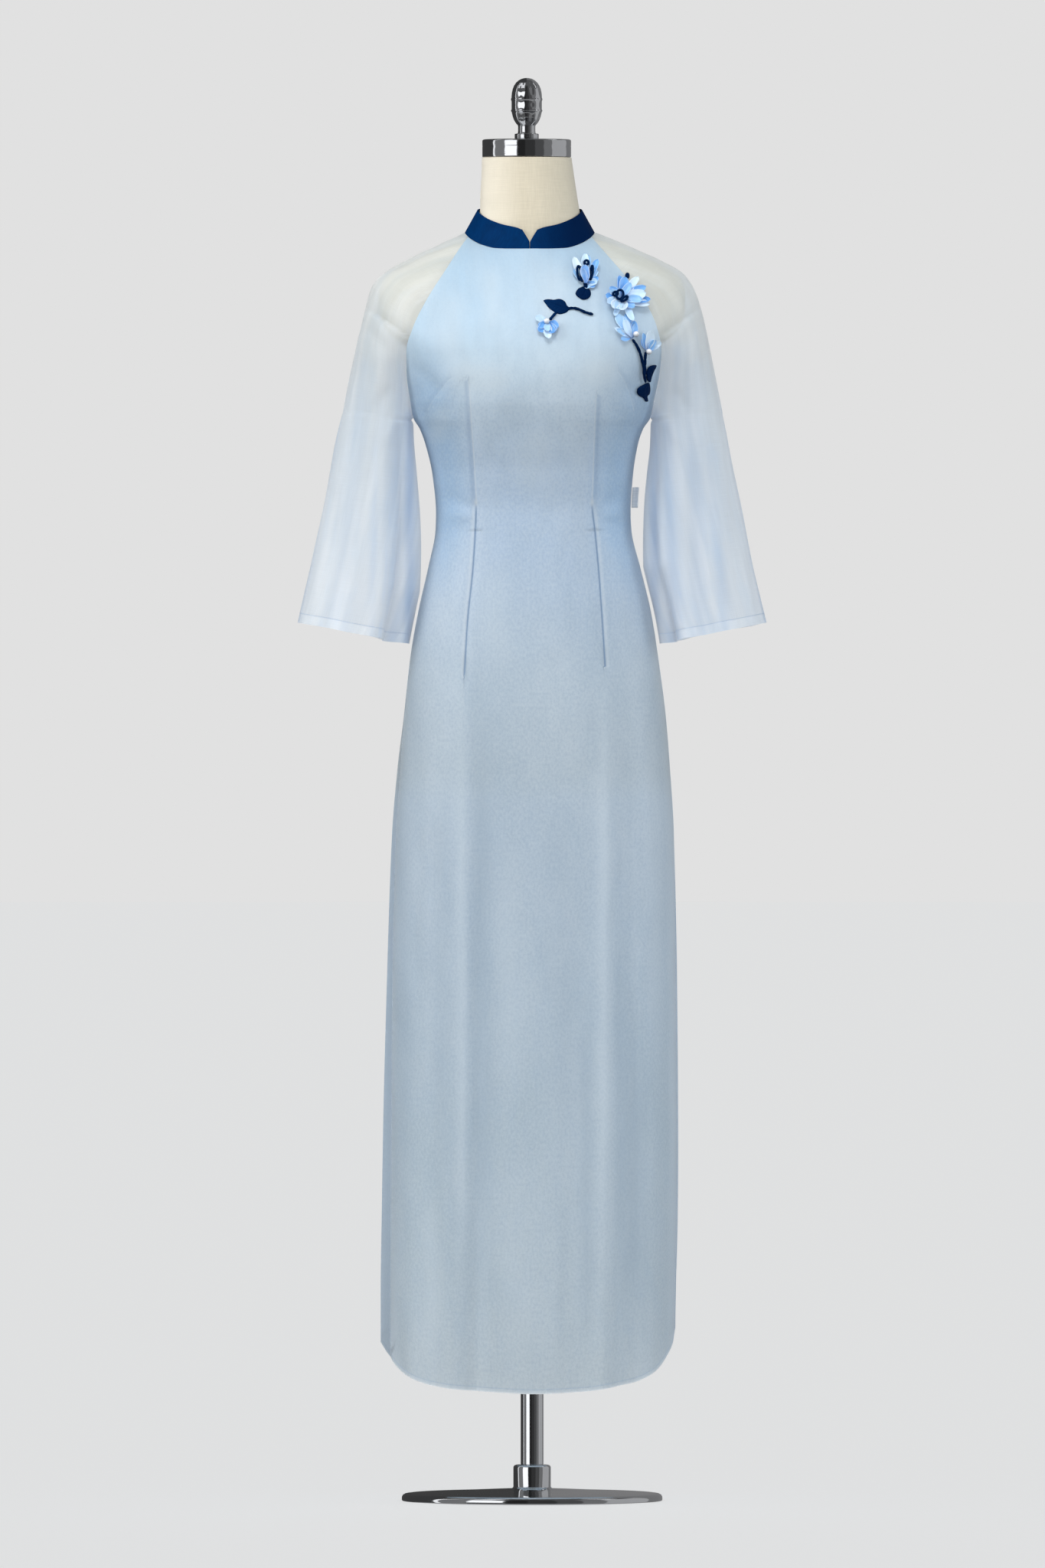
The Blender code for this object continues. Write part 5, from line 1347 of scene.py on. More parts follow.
# The petals of each flower: the turn from straight up and the length of each, its half width, how
# far its tip lifts and its sides cup, and its hue from white (0) through sky blue to lavender (1).
Petal = namedtuple("Petal", "direction length half_width lift cup hue foot")
Flower = namedtuple("Flower", "name node x height petals")
FLOWERS = [
    Flower("flower_a_petals", "flower_a", 65.1, 1495.5, [
        Petal(-24, 35.0, 4.6, 5, 1.6, 0.00, 0.4),
        Petal(-7, 37.0, 5.0, 4, 1.8, 0.12, 0.9),
        Petal(11, 34.5, 4.2, 4, 1.8, 0.40, 0.5),
        Petal(28, 33.0, 4.6, 6, 2.2, 0.62, 1.1),
        Petal(-38, 22.0, 4.2, 4, 1.6, 0.45, 0.2),
        Petal(46, 22.0, 4.4, 5, 1.6, 0.34, 0.7),
        Petal(60, 17.5, 4.2, 4, 1.2, 0.66, 1.6),
        Petal(84, 15.0, 4.4, 4, 1.2, 0.24, 1.2),
        Petal(112, 13.0, 4.2, 3, 1.0, 0.60, 0.9),
        Petal(146, 8.0, 3.4, 3, 1.0, 0.36, 0.6),
    ]),
    Flower("flower_a_heart_petals", "flower_a_heart", 65.1, 1495.0, [
        Petal(-9, 18, 3.6, 6, 2.2, 0.95, 5.2),
        Petal(2, 22.6, 5.8, 5, 2.2, 0.90, 6.4),
    ]),
    Flower("flower_c_petals", "flower_c", 19.4, 1447.4, [
        Petal(-76, 16.5, 4.4, 5, 1.6, 0.14, 0.4),
        Petal(-136, 16.5, 5.4, 4, 1.8, 0.74, 0.7),
        Petal(-112, 13.5, 4.4, 4, 1.6, 0.66, 1.2),
        Petal(177, 20.5, 5.0, 5, 2.0, 0.10, 1.8),
        Petal(158, 15.5, 4.8, 6, 2.0, 0.78, 0.8),
        Petal(140, 16.0, 4.6, 5, 1.8, 0.62, 0.3),
        Petal(112, 14.5, 5.2, 4, 1.6, 0.80, 1.3),
        Petal(196, 11.5, 4.0, 5, 1.4, 0.30, 2.2),
    ]),
    Flower("flower_d_petals", "flower_d", 110.0, 1476.4, [
        Petal(-8, 28.5, 4.6, 5, 1.8, 0.78, 0.4),
        Petal(12, 27.0, 6.2, 6, 2.2, 0.62, 1.2),
        Petal(33, 33.5, 4.8, 6, 2.0, 0.04, 0.6),
        Petal(24, 22.0, 4.6, 7, 2.0, 0.50, 2.4),
        Petal(-36, 20.5, 4.4, 5, 1.8, 0.60, 0.9),
        Petal(-54, 17.5, 4.2, 5, 1.8, 0.36, 1.5),
        Petal(60, 33.0, 5.2, 7, 2.4, 0.62, 0.5),
        Petal(76, 30.0, 6.4, 9, 2.6, 0.12, 1.7),
        Petal(88, 35.0, 4.8, 8, 2.2, 0.70, 0.8),
        Petal(108, 34.5, 5.0, 8, 2.2, 0.02, 1.2),
        Petal(95, 25.0, 5.0, 9, 2.0, 0.48, 2.8),
        Petal(146, 31.0, 4.2, 9, 2.0, 0.16, 0.8),
        Petal(127, 19.0, 4.6, 8, 2.0, 0.56, 1.8),
        Petal(-78, 20.5, 4.8, 7, 2.2, 0.66, 0.5),
        Petal(-102, 19.0, 4.8, 8, 2.4, 0.20, 1.1),
        Petal(-126, 16.5, 5.4, 9, 2.8, 0.02, 1.9),
        Petal(-160, 14.5, 5.4, 9, 2.8, 0.26, 2.4),
        Petal(168, 14.5, 5.6, 9, 2.8, 0.06, 1.6),
        Petal(-153, 23.5, 3.6, 5, 1.6, 0.18, 0.3),
    ]),
    Flower("flower_e_petals", "flower_e", 122.4, 1427.8, [
        Petal(-64, 24.5, 3.2, 4, 1.2, 0.10, 1.2),
        Petal(-50, 21.0, 4.2, 4, 1.6, 0.42, 0.5),
        Petal(-33, 35.0, 6.6, 3, 1.8, 0.30, 0.8),
        Petal(-15, 32.0, 5.6, 2.5, 1.6, 0.44, 1.4),
        Petal(-24, 24.0, 4.4, 4, 1.8, 0.14, 2.2),
        Petal(5, 21.0, 4.4, 4, 1.4, 0.66, 0.7),
        Petal(24, 18.5, 4.0, 5, 1.6, 0.56, 0.4),
        Petal(-92, 14, 3.4, 4, 1.2, 0.56, 0.4),
    ]),
    Flower("flower_f_petals", "flower_f", 141.4, 1410.5, [
        Petal(-22, 19, 3.6, 3, 1.4, 0.66, 0.2),
        Petal(-12, 24, 3.0, 4, 1.4, 0.50, 0.4),
        Petal(6, 26.5, 5.6, 6, 2.0, 0.00, 0.8),
        Petal(40, 17, 4.2, 5, 1.8, 0.52, 1.2),
        Petal(56, 21, 3.8, 5, 1.6, 0.08, 0.5),
        Petal(26, 18, 4.0, 4, 1.6, 0.34, 0.4),
    ]),
]
APPLIQUE_GAP = 0.6
PETAL_WALL = 0.35


def petal_grid(flower, petal, index):
    """One ribbon petal: narrow at its foot, full past its middle, drawn in to a folded point."""
    s = np.linspace(0, 1, 15)[:, None]
    t = np.linspace(-1, 1, 11)[None, :]
    round_tip = np.sqrt(np.clip(1 - (np.clip(s - 0.58, 0, 1) / 0.42) ** 2.4, 0.0004, 1))
    half = petal.half_width * (0.28 + 0.72 * ease(s / 0.5)) * round_tip
    wave = 0.10 * petal.half_width * np.sin(7 * s + 1.7 * index)
    turn = math.radians(petal.direction + 5 * math.sin(2.3 * index))
    reach = petal.length * s
    side = half * t + wave + 1.2 * math.sin(1.3 * index) * s**2 * petal.half_width * 0.3
    x = flower.x + reach * math.sin(turn) + side * math.cos(turn)
    z = flower.height + reach * math.cos(turn) - side * math.sin(turn)
    cup = petal.cup * (t**2) * np.sin(math.pi * np.clip(s, 0.05, 0.95))
    crease = -0.5 * np.exp(-((t / 0.16) ** 2)) * (1 - s)
    curl = 1.3 * math.cos(1.9 * index) * s**4
    out = APPLIQUE_GAP + 0.5 + petal.foot + petal.lift * s**1.4 + cup + crease + curl
    out = np.maximum(out, APPLIQUE_GAP + 0.2)
    points = on_chest(x, z, out)
    plan = np.stack([side + np.zeros_like(s), reach + np.zeros_like(t)], axis=2)
    marks = {
        "hue": np.full(points.shape[:2], petal.hue),
        "tip": s + np.zeros_like(t),
        "rim": np.abs(t) + np.zeros_like(s),
    }
    return points, plan, marks


def joined_mesh(name, parts):
    """One mesh from several grids with their plans and marks."""
    verts, faces, plans = [], [], []
    marks = {}
    for points, plan, given in parts:
        start = sum(len(v) for v in verts)
        rows, columns = points.shape[:2]
        verts.append(points.reshape(-1, 3))
        plans.append(plan.reshape(-1, 2))
        for key, values in given.items():
            marks.setdefault(key, []).append(values.reshape(-1))
        for r in range(rows - 1):
            for c in range(columns - 1):
                a = start + r * columns + c
                faces.append((a, a + 1, a + columns + 1, a + columns))
    mesh = bpy.data.meshes.new(name)
    mesh.from_pydata((np.concatenate(verts) * MM).tolist(), [], faces)
    layer = mesh.uv_layers.new(name="cloth")
    corners = np.empty(len(mesh.loops), dtype=np.int32)
    mesh.loops.foreach_get("vertex_index", corners)
    layer.data.foreach_set("uv", (np.concatenate(plans) * MM)[corners].ravel())
    for key, values in marks.items():
        mark = mesh.attributes.new(key, "FLOAT", "POINT")
        mark.data.foreach_set("value", np.concatenate(values).astype(np.float32))
    mesh.shade_smooth()
    return mesh


def make_flowers():
    for number, flower in enumerate(FLOWERS):
        parts = [petal_grid(flower, petal, k + 3 * number) for k, petal in enumerate(flower.petals)]
        piece = add_piece(flower.name, joined_mesh(flower.name, parts), PETAL, PETAL_WALL)
        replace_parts(piece, flower.node)


# Each leaf by the corners of its outline in front view, and its vein from base to tip.
Leaf = namedtuple("Leaf", "name outline vein height")
LEAVES = [
    Leaf("leaf_a", [(61.4, 1490.8), (66.5, 1490.4), (70.6, 1487.2), (72.2, 1482.2), (70.4, 1477.4),
                    (66.6, 1475.0), (61.6, 1474.6), (56.6, 1477.4), (53.0, 1481.8), (55.6, 1487.4)],
         [(68.0, 1489.5), (60.0, 1477.0)], 2.3),
    Leaf("leaf_b", [(14.0, 1473.6), (19.6, 1475.2), (26.4, 1474.6), (32.6, 1475.6), (37.4, 1474.6),
                    (41.0, 1471.6), (43.0, 1467.4), (46.4, 1464.0), (43.6, 1459.6), (39.6, 1457.4),
                    (34.4, 1456.4), (29.8, 1457.8), (25.2, 1460.6), (20.4, 1464.4), (16.8, 1469.2)],
         [(44.5, 1462.6), (16.0, 1473.0)], 2.2),
    Leaf("leaf_g", [(152.2, 1393.9), (148.4, 1394.4), (144.2, 1392.8), (141.2, 1389.4), (140.2, 1383.6),
                    (140.8, 1377.0), (144.6, 1374.2), (146.4, 1380.4), (149.2, 1387.6)],
         [(142.5, 1376.0), (150.6, 1393.0)], 1.9),
    Leaf("leaf_h", [(142.8, 1373.4), (145.0, 1367.0), (144.4, 1360.2), (141.6, 1356.4), (142.4, 1351.0),
                    (138.8, 1350.4), (136.0, 1354.4), (131.2, 1356.8), (128.2, 1361.0), (129.6, 1366.4),
                    (134.8, 1370.0)],
         [(141.0, 1371.5), (139.5, 1353.0)], 2.3),
]
LEAF_RINGS = 13
LEAF_SIDES = 72


def closed_curve(corners, count):
    """A smooth closed curve through some corners, as points in front view."""
    corners = np.array(corners, float)
    at = np.linspace(0, len(corners), count, endpoint=False)
    i = np.floor(at).astype(int)
    t = (at - i)[:, None]
    before, here, there, after = (corners[(i + k) % len(corners)] for k in (-1, 0, 1, 2))
    pull, push = (there - before) * 0.5, (after - here) * 0.5
    rise = t * t * (3 - 2 * t)
    return here + (there - here) * rise + t * (1 - t) ** 2 * pull + t * t * (t - 1) * push


def make_leaves():
    """Padded satin leaves with turned edges and a sunk vein."""
    for number, leaf in enumerate(LEAVES):
        edge = closed_curve(leaf.outline, LEAF_SIDES)
        middle = edge.mean(axis=0)
        share = np.linspace(1, 0, LEAF_RINGS)[:, None, None]
        flat = middle + (edge - middle) * share
        flat = np.concatenate([flat, flat[:, :1]], axis=1)
        share = share[:, :, 0] + np.zeros(flat.shape[:2])
        start, end = np.array(leaf.vein, float)
        way = (end - start) / np.linalg.norm(end - start)
        off = (flat[:, :, 0] - start[0]) * way[1] - (flat[:, :, 1] - start[1]) * way[0]
        run = (flat[:, :, 0] - start[0]) * way[0] + (flat[:, :, 1] - start[1]) * way[1]
        pad = leaf.height * np.sqrt(np.clip(1 - share**4, 0, 1))
        pad -= 0.5 * np.exp(-((off / 0.9) ** 2)) * (1 - share**3)
        pad += 0.22 * np.sin(1.5 * run - 0.9 * np.abs(off) + number) * (1 - share**3)
        points = on_chest(flat[:, :, 0], flat[:, :, 1], APPLIQUE_GAP + 0.3 + pad)
        plan = np.stack([off, run], axis=2)
        mesh = joined_mesh(leaf.name, [(points[::-1], plan[::-1], {})])
        piece = add_piece(f"{leaf.name}_satin", mesh, NAVY, 0.5)
        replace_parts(piece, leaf.name)


Stem = namedtuple("Stem", "name points")
STEMS = [
    Stem("stem_b_long", [(43.5, 1463.0), (47.5, 1464.2), (52.5, 1464.0), (58, 1462.4), (64, 1459.4),
                         (70, 1457.6), (75.0, 1456.4)]),
    Stem("stem_b_short", [(29.6, 1458.8), (25.6, 1454.6), (21.6, 1449.6)]),
    Stem("stem_e", [(122.6, 1426.4), (127.6, 1419.4), (131.6, 1411.4), (134.4, 1402.0), (136.4, 1392.5),
                    (137.4, 1382.0), (139.2, 1372.6)]),
    Stem("stem_f", [(139.2, 1411.0), (138.4, 1402), (138.0, 1392.0), (138.6, 1383.0)]),
]
STEM_RADIUS = 1.75


def round_tube(points, radius, closed=False, sides=14):
    """A grid of points round a path, with its plan."""
    way = np.roll(points, -1, 0) - np.roll(points, 1, 0) if closed else np.gradient(points, axis=0)
    way /= np.linalg.norm(way, axis=1)[:, None]
    up = np.array([0.0, -1.0, 0.0])
    aside = np.cross(way, up)
    aside /= np.linalg.norm(aside, axis=1)[:, None]
    rise = np.cross(aside, way)
    turn = np.linspace(0, 2 * math.pi, sides + 1)
    ring = np.cos(turn)[None, :, None] * aside[:, None] + np.sin(turn)[None, :, None] * rise[:, None]
    grid = points[:, None] + ring * np.asarray(radius).reshape(-1, 1, 1)
    run = np.concatenate([[0], np.cumsum(np.linalg.norm(np.diff(points, axis=0), axis=1))])
    plan = np.stack(np.broadcast_arrays(turn[None, :] * np.max(radius), run[:, None]), axis=2)
    return grid, plan


def make_stems():
    """Rolled satin cords, a little lumpy, with rounded ends."""
    for number, stem in enumerate(STEMS):
        line = along(np.array(stem.points, float), np.linspace(0, 1, 40))
        s = np.linspace(0, 1, 40)
        lump = 1 + 0.09 * np.sin(23 * s + number) + 0.06 * np.sin(51 * s)
        radius = STEM_RADIUS * lump * np.clip(np.sin(math.pi * np.clip(s, 0.004, 0.996)) * 9, 0.02, 1)
        points = on_chest(line[:, 0], line[:, 1], APPLIQUE_GAP + STEM_RADIUS)
        grid, plan = round_tube(points, radius)
        mesh = joined_mesh(stem.name, [(grid[::-1], plan[::-1], {})])
        piece = add_piece(f"{stem.name}_cord", mesh, NAVY, None)
        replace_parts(piece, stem.name)


# Loops of narrow navy ribbon at the hearts of two flowers, several to a piece.
Loop = namedtuple("Loop", "x height half_width half_height lean foot_out top_out")
LOOPS = {
    "flower_a_loop": [
        Loop(57.8, 1507.4, 2.4, 8.6, -7, 5.0, 7.0),
        Loop(60.6, 1506.0, 1.2, 8.4, -4, 5.8, 7.4),
        Loop(72.4, 1508.0, 1.6, 8.4, 8, 5.0, 7.0),
        Loop(66.6, 1520.4, 2.6, 2.6, 0, 6.2, 8.0),
        Loop(65.4, 1492.4, 0.9, 3.4, -12, 3.0, 4.4),
    ],
    "flower_d_loop": [
        Loop(107.4, 1481.0, 4.2, 5.6, 10, 8.2, 10.4),
        Loop(102.0, 1482.0, 3.0, 2.2, -20, 7.8, 9.6),
        Loop(113.0, 1475.8, 4.6, 1.9, -35, 8.6, 10.2),
        Loop(116.6, 1504.0, 1.4, 2.8, 4, 3.4, 4.4),
        Loop(116.6, 1504.6, 0.5, 1.6, 4, 3.4, 4.4),
    ],
}
LOOP_RADIUS = 1.5


def make_loops():
    for name, loops in LOOPS.items():
        parts = []
        for loop in loops:
            turn = np.linspace(0, 2 * math.pi, 49)
            lean = math.radians(loop.lean)
            aside, rise = loop.half_width * np.sin(turn), loop.half_height * np.cos(turn)
            x = loop.x + aside * math.cos(lean) + rise * math.sin(lean)
            z = loop.height - aside * math.sin(lean) + rise * math.cos(lean)
            out = loop.foot_out + (loop.top_out - loop.foot_out) * (1 + np.cos(turn)) / 2
            grid, plan = round_tube(on_chest(x, z, out)[:-1], np.full(48, LOOP_RADIUS), closed=True)
            grid = np.concatenate([grid, grid[:1]])
            plan = np.concatenate([plan, plan[-1:] + plan[1:2] - plan[:1]])
            parts.append((grid[::-1], plan[::-1], {}))
        piece = add_piece(f"{name}_satin", joined_mesh(name, parts), NAVY, None)
        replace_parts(piece, name)


PEARL_RADIUS = 3.6
Pearl = namedtuple("Pearl", "name x height out")
PEARLS = [
    Pearl("pearl_c", 17.9, 1448.2, 4.4),
    Pearl("pearl_e", 127.2, 1432.4, 4.4),
    Pearl("pearl_f", 143.0, 1411.0, 4.2),
]


def make_pearls():
    """Round beads, with painted shade on their lower side."""
    fall = np.linspace(0.04, math.pi - 0.04, 17)
    turn = np.linspace(2 * math.pi, 0, 29)
    for name, x, height, out in PEARLS:
        centre = on_chest(x, height, out + APPLIQUE_GAP)
        ball = np.stack([
            np.outer(np.sin(fall), np.cos(turn)),
            np.outer(np.sin(fall), np.sin(turn)),
            np.outer(np.cos(fall), turn**0),
        ], axis=2)
        plan = np.broadcast_arrays(turn[None, :] * PEARL_RADIUS, fall[:, None] * PEARL_RADIUS)
        plan = np.stack(plan, axis=2)
        # low: the share down the bead, which the pearl finish turns into painted shade.
        marks = {"low": np.broadcast_to((fall / math.pi)[:, None], ball.shape[:2])}
        mesh = joined_mesh(f"{name}_bead", [(centre + ball * PEARL_RADIUS, plan, marks)])
        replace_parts(add_piece(f"{name}_bead", mesh, PEARL, None), name)


def make_label():
    """The plain folded tape in the side seam."""
    rows = []
    for height in np.linspace(1244, 1219, 20):
        seam = float(read(FRONT_SECTIONS, "right", height))
        bow = 0.5 * math.sin((height - 1219) / 25 * math.pi)
        line = np.array([(seam + 0.9, -1.5, height), (seam + 5.0, -4.0 - bow, height),
                         (seam + 8.4, -8.5, height)])
        rows.append(along(line, np.linspace(0, 1, 12)))
    grid = np.array(rows)
    mesh = mesh_of("side_label_tape", grid, uv=cut_plan(grid))
    piece = add_piece("side_label_tape", mesh, TAPE, 0.7)
    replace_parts(piece, "side_label")


Ring = namedtuple("Ring", "height half_width front back fullness centre_x")
NECK_TOP_HEIGHT = 1648.6
FORM_BOTTOM_HEIGHT = 862
FORM_RINGS = [
    Ring(NECK_TOP_HEIGHT, 55.0, 54.0, 55.0, 2.00, -6.6),
    Ring(1625, 57.0, 54.0, 55.0, 2.00, -5.2),
    Ring(1600, 59.6, 54.6, 54.6, 2.00, -4.0),
    Ring(1584, 61.0, 55.0, 54.6, 2.00, -2.8),
    Ring(1570, 63.4, 55.6, 55.0, 2.00, -2.6),
    Ring(1560, 65.0, 55.5, 55.0, 1.95, -2.2),
    Ring(1552, 72.0, 56.0, 56.0, 1.70, -2.2),
    Ring(1545, 91.5, 58.5, 59.5, 1.46, -1.4),
    Ring(1537, 112.0, 61.0, 64.0, 1.48, 0),
    Ring(1528, 133.0, 64.5, 68.5, 1.58, 0),
    Ring(1517, 157.0, 69.5, 74.5, 1.70, 0),
    Ring(1507, 174.0, 74.0, 79.5, 1.80, 0),
    Ring(1496, 184.0, 80.0, 85.0, 1.94, 0),
    Ring(1482, 188.0, 88.0, 91.5, 2.08, 0),
    Ring(1462, 187.5, 98.5, 97.5, 2.20, 0),
    Ring(1442, 182.0, 109.0, 101.5, 2.25, 0),
    Ring(1428, 170.0, 115.0, 103.0, 2.20, 0),
    Ring(1416, 154.0, 119.0, 103.5, 2.20, 0),
    Ring(1404, 143.0, 121.5, 103.0, 2.20, 0),
    Ring(1385, 140.0, 123.5, 102.0, 2.20, 0),
]
FORM_LOWER_HEIGHTS = (1350, 1320, 1285, 1250, 1213, 1165, 1105, 1035, 960, 885)
FORM_INSET = 4.2
FORM_BOTTOM_INSET = 12


def body_ring(height, inset):
    left = float(read(FRONT_SECTIONS, "left", height))
    right = float(read(FRONT_SECTIONS, "right", height))
    front = float(read(FRONT_SECTIONS, "depth", height)) - inset
    back = float(read(BACK_SECTIONS, "depth", height)) - inset
    full = float(read(FRONT_SECTIONS, "fullness", height))
    return Ring(height, (left + right) / 2 - inset, front, back, full, (right - left) / 2)


def make_form():
    """The cream form: neck, shoulder caps and body, closed below."""
    rings = list(FORM_RINGS)
    rings += [body_ring(height, FORM_INSET) for height in FORM_LOWER_HEIGHTS]
    rings += [body_ring(FORM_BOTTOM_HEIGHT, FORM_INSET + FORM_BOTTOM_INSET)]
    table = sorted(rings, key=lambda ring: ring.height)
    heights = np.concatenate([np.linspace(NECK_TOP_HEIGHT, 1385, 110),
                              np.linspace(1380, FORM_BOTTOM_HEIGHT, 90)])
    turn = np.linspace(0, 2 * math.pi, 128, endpoint=False)
    rows = []
    for height in heights:
        ring = Ring(height, *(float(read(table, name, height)) for name in Ring._fields[1:]))
        full = 2 / ring.fullness
        deep = np.where(np.cos(turn) > 0, ring.front, ring.back)
        x = ring.centre_x + ring.half_width * power(np.sin(turn), full)
        rows.append(np.stack([x, -deep * power(np.cos(turn), full), np.full_like(x, height)], axis=1))
    mesh = mesh_of("form_body", np.array(rows), closed=True)
    fill = bmesh.new()
    fill.from_mesh(mesh)
    fill.verts.ensure_lookup_table()
    columns = len(turn)
    fill.faces.new([fill.verts[k] for k in range(columns)])
    last = (len(rows) - 1) * columns
    fill.faces.new([fill.verts[last + k] for k in range(columns)][::-1])
    fill.to_mesh(mesh)
    fill.free()
    mesh.set_sharp_from_angle(angle=math.radians(50))
    piece = add_piece("form_body", mesh, LINEN, None)
    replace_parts(piece, "form_torso")


CAP_CENTRE_X = -6.6
KNOB_PROFILE = [
    (0, 1746.5), (3, 1746.3), (6.5, 1745.4), (10, 1743.5), (13.2, 1740.6), (15.6, 1737),
    (17.2, 1733), (18.2, 1728.6), (18.6, 1724.6), (18.7, 1722.4), (19.1, 1721.2), (19.5, 1720.2),
    (19.2, 1719.2), (18.7, 1718.2), (18.6, 1716), (18.6, 1713), (18.6, 1710), (18.6, 1708.2),
    (19.0, 1707.2), (19.4, 1706.2), (19.0, 1705.2), (18.4, 1704.4), (18.0, 1702.4), (17.2, 1699),
    (15.9, 1695.4), (14.2, 1692.2), (12.4, 1689.8), (11.2, 1688.6), (10.7, 1687.6), (10.6, 1686),
    (10.6, 1681.2), (10.8, 1679.6), (11.2, 1678.4), (14.2, 1678), (14.7, 1677.4), (14.8, 1676.6),
    (14.8, 1672.4), (14.4, 1671.4), (0, 1671.3),
]
KNOB_LOBES = 8
KNOB_TIERS = [(1745.8, 1722.4, 0.05), (1718.2, 1708.2, 0.035), (1704.4, 1689.0, 0.06)]


def knob_relief(radius, height, turn):
    """The scalloped lobes of each tier of the knob."""
    for top, foot, depth in KNOB_TIERS:
        if foot < height < top:
            share = (top - height) / (top - foot)
            groove = abs(math.sin(KNOB_LOBES * turn / 2)) ** 3
            return radius * (1 - depth * math.sin(math.pi * share) ** 0.6 * groove)
    return radius


CAP_PROFILE = [
    (0, 1671), (52, 1671), (53.4, 1670.7), (54.2, 1670), (54.5, 1669), (54.5, 1663),
    (54.35, 1662.6), (54.35, 1662.2), (54.5, 1661.8), (54.5, 1650.4), (54.2, 1649.4), (53.6, 1649),
    (0, 1649),
]
SOCKET_PROFILE = [
    (0, 861.7), (33.4, 861.7), (34, 861.2), (34, 858.4), (33.4, 857.7), (25, 857.7), (24, 856.6),
    (24, 829), (23, 827.7), (0, 827.7),
]
POLE_PROFILE = [(0, 827.4), (13.4, 827.4), (14, 826.8), (14, 44.9), (13.4, 44.3), (0, 44.3)]
BASE_PROFILE = [
    (0, 44), (19.4, 44), (21.4, 43.4), (22.6, 42.2), (23, 40.6), (23, 17), (24, 15.6), (26, 14.9),
    (60, 13.3), (110, 10.8), (152, 9.1), (156, 8.6), (158.6, 7.2), (159.8, 5.2), (160, 3.4),
    (160, 1.0), (159.6, 0.3), (159, 0), (0, 0),
]


def refined(profile, span):
    """The profile with long stretches of its curved part divided."""
    points = [profile[0]]
    for r, z in profile[1:]:
        before = points[-1]
        parts = max(1, round(math.hypot(r - before[0], z - before[1]) / span))
        points += [(before[0] + (r - before[0]) * k / parts, before[1] + (z - before[1]) * k / parts)
                   for k in range(1, parts + 1)]
    return points


def turned(name, profile, centre_x, node, steps=96, relief=None):
    """A turned chrome piece from its profile, top to bottom, closed at its axis."""
    turn = np.linspace(0, 2 * math.pi, steps, endpoint=False)
    verts, rings, faces = [], [], []
    for radius, height in profile:
        if radius == 0:
            rings.append([len(verts)] * steps)
            verts.append((centre_x * MM, 0, height * MM))
            continue
        rings.append(list(range(len(verts), len(verts) + steps)))
        for angle in turn:
            reach = relief(radius, height, angle) if relief else radius
            x, y = centre_x + reach * math.sin(angle), -reach * math.cos(angle)
            verts.append((x * MM, y * MM, height * MM))
    for upper, lower in zip(rings, rings[1:]):
        for k in range(steps):
            n = (k + 1) % steps
            corners = dict.fromkeys((upper[k], lower[k], lower[n], upper[n]))
            if len(corners) > 2:
                faces.append(tuple(corners))
    mesh = bpy.data.meshes.new(name)
    mesh.from_pydata(verts, [], faces)
    mesh.shade_smooth()
    mesh.set_sharp_from_angle(angle=math.radians(38))
    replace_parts(add_piece(name, mesh, CHROME, None), node)


def make_hardware():
    turned("neck_cap_chrome", CAP_PROFILE, CAP_CENTRE_X, "neck_cap")
    turned("finial_knob", refined(KNOB_PROFILE, 1.6), CAP_CENTRE_X, "finial", 144, knob_relief)
    turned("pole_socket_chrome", SOCKET_PROFILE, 0, "pole_socket", 64)
    turned("pole_tube", POLE_PROFILE, 0, "pole", 64)
    turned("base_plate", BASE_PROFILE, 0, "base", 128)


make_front()
make_backs()
make_sleeves()
make_collar()
make_flowers()
make_leaves()
make_stems()
make_loops()
make_label()
make_form()
make_hardware()
make_pearls()


def glow_finish(name, attribute):
    """A finish that only shines, in one colour for each face."""
    material = bpy.data.materials.new(name)
    material.use_nodes = True
    tree = material.node_tree
    tree.nodes.clear()
    source = add_node(tree, "ShaderNodeAttribute", {"attribute_name": attribute})
    emission = add_node(tree, "ShaderNodeEmission", Color=source.outputs["Color"])
    add_node(tree, "ShaderNodeOutputMaterial", Surface=emission.outputs[0])
    return material


BACKDROP = tone(225, 225, 225)
FLOOR_GLOW = 0.80
FLOOR_RADIUS = 70.0


def make_floor():
    """A pale floor as bright as the backdrop, which still takes a soft shadow."""
    turn = np.linspace(0, 2 * math.pi, 96, endpoint=False)
    verts = [(FLOOR_RADIUS * math.cos(a), FLOOR_RADIUS * math.sin(a), 0) for a in turn]
    mesh = bpy.data.meshes.new("floor")
    mesh.from_pydata(verts, [], [tuple(range(96))])
    floor = bpy.data.objects.new("floor", mesh)
    bpy.context.scene.collection.objects.link(floor)
    finish = Finish("pale_floor")
    shade = BACKDROP[0] * (1 - FLOOR_GLOW) / AMBIENT
    finish.set(Base_Color=(shade, shade, shade, 1), Roughness=1.0, Specular_IOR_Level=0.0)
    finish.set(Emission_Color=(*BACKDROP, 1), Emission_Strength=FLOOR_GLOW)
    mesh.materials.append(finish.material)
    floor.visible_diffuse = False
    floor.visible_glossy = False
    floor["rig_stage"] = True


# What shiny pieces see round them: cards and windows of the studio by the way in which they lie,
# azimuth from the camera's side towards +X and elevation, and how bright they are.
Card = namedtuple("Card", "left right low high bright")
